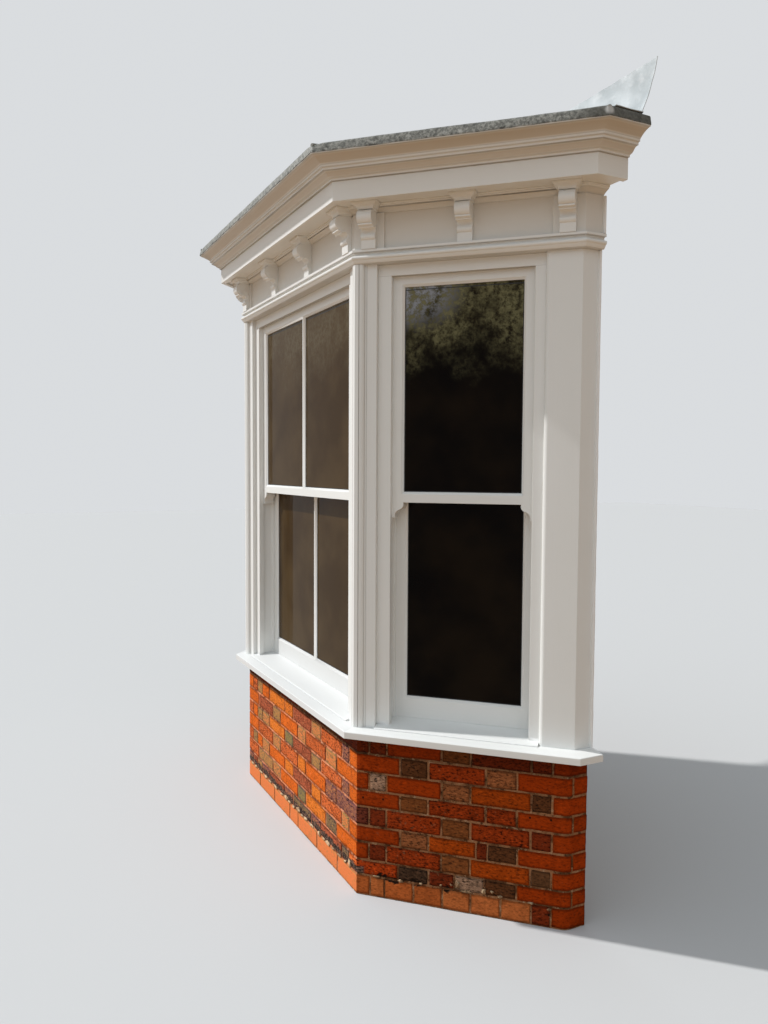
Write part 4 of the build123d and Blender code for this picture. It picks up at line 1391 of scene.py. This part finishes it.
# %% Flashing
apron_rows, rise_rows = 6, 14
apron_depth, fold_gap, lift, splay = 0.150, 0.006, 0.0045, 0.0408
grid = {"x_subdivisions": 170, "y_subdivisions": apron_rows + rise_rows, "size": 2}
flashing = add(bpy.ops.mesh.primitive_grid_add, **grid)
flashing.name = "lead_flashing_dressed"
for vertex in flashing.data.vertices:
    spread = vertex.co.x
    row = (vertex.co.y + 1) / 2 * (apron_rows + rise_rows)
    climb = max(0.0, row - apron_rows) / rise_rows
    wide = half_width + lead_reach - 0.0015 + climb * splay
    x = spread * wide
    if climb == 0:
        y = back_y - apron_depth + (apron_depth - fold_gap) * row / apron_rows
        edge = 0.006 * noise.noise(Vector((x * 6, y * 3, 1))) if row < 1 else 0
        level = roof_level(x, y) + lift + 0.0020 * noise.noise(Vector((x, y, 0)) * 14)
        vertex.co = (x, y + edge, level)
        continue
    foot = roof_level(x, back_y) + lift
    level = foot + climb * (flashing_head - foot)
    end = wide - abs(x)
    fold = noise.noise(Vector((x * 9 + level * 7, level * 5, 2)))
    crease = noise.noise(Vector((x * 26 + level * 22, level * 9, 7)))
    off_back = 0.0035 + climb * (0.0075 * abs(fold) + 0.0035 * crease)
    curl = max(0.0, 1 - end / 0.070) ** 2
    wave = 0.003 * sin(level * 46) * max(0.0, 1 - end / 0.09)
    off_back += curl * (0.002 + 0.030 * (1 - climb) ** 2) + abs(wave) * climb
    sag = 0.004 * climb * abs(noise.noise(Vector((x * 5, 0, 5))))
    vertex.co = (x, back_y - off_back, level - sag)
thicken(flashing, 0.0022, 1)
for vertex in flashing.data.vertices:
    vertex.co.y = min(vertex.co.y, back_y - back_gap)
    vertex.co.z = min(vertex.co.z, flashing_head)
finish_smooth(flashing, 60)
flashing.data.materials.append(bright_lead_finish())
stand_for(flashing, "lead", "lead_flashing")
print("flashing faces:", len(flashing.data.polygons))

# %% [markdown]
# ## Sealant
#
# A bead of white sealant closes the joint along the back edge of the joinery. It is a long bar with round
# edges, cut into short lengths whose points waver, because a gunned bead is never straight.

# %% Sealant
def sealant_finish():
    """White sealant, a little glossy, wavy along its length."""
    material, place = new_finish("white_sealant", {"Specular IOR Level": 0.5})
    ripples = cloudy(stretch(place, (60.0, 60.0, 26.0)), 1.0, 3.0)
    color = blend((0.80, 0.79, 0.76, 1), (0.88, 0.87, 0.85, 1), ripples)
    return lay(material, color, ripples * 0.2 + 0.28, ripples, 0.5, 0.0015)


bead_width, bead_depth, frieze_out = 0.016, 0.009, 0.020
sill_top, neck_foot, neck_head, bed_foot = 0.7120, 2.6130, 2.6680, 2.8070


def bead(low, high, face):
    """One upright bead on the back plane, beside a face at a distance from the centre."""
    bar = add(bpy.ops.mesh.primitive_cube_add, (bead_width, bead_depth, high - low), size=1)
    with edit_mode(bar):
        bpy.ops.mesh.bevel(offset=0.0035, segments=3, affect="EDGES")
    cut(bar, *even_cuts(high - low, max(6, int((high - low) / 0.045))))
    for vertex in bar.data.vertices:
        point = vertex.co + Vector((face + bead_width / 4, back_y - bead_depth / 2, (low + high) / 2))
        if vertex.co.x > 0:
            point.x += 0.0016 * noise.noise(Vector((0, face, point.z * 22)))
        if vertex.co.y < 0:
            point.y += 0.0010 * noise.noise(Vector((9, face, point.z * 17)))
        vertex.co = point
    return bar


sealant = sealant_finish()
for side in ("right", "left"):
    long_bead = bead(sill_top, neck_foot, half_width)
    strip = join([long_bead, bead(neck_head, bed_foot, half_width + frieze_out)])
    strip.name = f"sealant_{side}"
    if side == "left":
        strip.data.transform(Matrix.Scale(-1, 4, (1, 0, 0)))
        strip.data.flip_normals()
    strip.data.materials.append(sealant)
    finish_smooth(strip, 50)
    stand_for(strip, "painted_timber")
print("sealant beads: 4")

# %% [markdown]
# ## Roof timbers
#
# The joists and boards are bare softwood, which only shows from the open back. The solids are right as
# they are. The grain is a stretched noise whose bands are bent by a slower one, and it runs along the
# joists and across the boards.

# %% Softwood
def softwood(name, turn):
    """Bare pine with its grain at an angle in plan."""
    material, place = new_finish(name, {"Specular IOR Level": 0.3})
    run = place.node("ShaderNodeMapping", None, {"Vector": place, "Rotation": (0, 0, radians(-turn))})
    rings = cloudy(stretch(run, (1.4, 46.0, 46.0)), 1.0, 4.0, 0.6)
    pores = cloudy(stretch(run, (14.0, 700.0, 700.0)), 1.0, 2.0)
    color = blend((0.46, 0.285, 0.135, 1), (0.66, 0.47, 0.26, 1), rings.between(0.3, 0.7))
    color = blend(color, (0.25, 0.135, 0.055, 1), pores.between(0.55, 0.75) * 0.5)
    return lay(material, color, rings * 0.2 + 0.55, rings + pores * 0.5, 0.4, 0.0012)


for name, turn in (("roof_joists", 90), ("roof_boards", 0)):
    refinish(name, softwood("pine_" + name, turn))
print("roof timbers finished")

# %% [markdown]
# ## Floor and light
#
# A plain floor and soft studio light. The object is lit at a plain level, so the pale background is
# not made with more light: the floor and the world are only pale for the rays that come straight from the
# camera, from a reflection or through glass. For all other rays the floor is a darker warm tone, so that it
# sends a little warm light up under the cornice, and the sky is darker on the side of the open back. The key
# light is a sun from the left front, 43 degrees up.

# %% Pale only where it is seen
def seen_directly(start):
    """1 for camera, reflected and transmitted rays, and 0 for the rays that light the object."""
    kinds = ("Is Camera Ray", "Is Glossy Ray", "Is Transmission Ray")
    camera_ray, glossy, through_glass = [start.node("ShaderNodeLightPath", output=kind) for kind in kinds]
    return (camera_ray + glossy + through_glass).between(0.0, 1.0)


floor = add(bpy.ops.mesh.primitive_plane_add, size=60, location=(0, 0, -0.0005))
floor.name = "floor"
floor_finish, place = new_finish("pale_floor", {"Roughness": 0.9, "Specular IOR Level": 0.1})
floor_color = blend((0.385, 0.255, 0.150, 1), (0.565, 0.565, 0.56, 1), seen_directly(place))
floor.data.materials.append(lay(floor_finish, floor_color))
print("floor:", floor_finish.name)

# %% Sky and sun
world = bpy.data.worlds.new("studio")
bpy.context.scene.world = world
world.use_nodes = True
start = Wire(world.node_tree)
way = start.node("ShaderNodeTexCoord", output="Generated")
toward_back, up = axis_of(way, "Y"), axis_of(way, "Z")
dome = blend((0.350, 0.390, 0.42, 1), (0.79, 0.88, 0.96, 1), up.between(0.0, 0.5))
dome = blend(dome, (0.25, 0.215, 0.19, 1), toward_back.between(-0.1, 0.4))
sky = blend(dome, (0.70, 0.72, 0.74, 1), seen_directly(start))
world.node_tree.links.new(sky.socket, world.node_tree.nodes["Background"].inputs["Color"])

sun_data = bpy.data.lights.new("key", "SUN")
sun_data.energy, sun_data.angle = 3.05, radians(1.5)
sun = bpy.data.objects.new("key", sun_data)
bpy.context.scene.collection.objects.link(sun)
sun.rotation_euler = (radians(46.7), 0, radians(-41))
bpy.context.scene.view_settings.view_transform = "Standard"
print("key light from the left front, elevation 43 degrees")
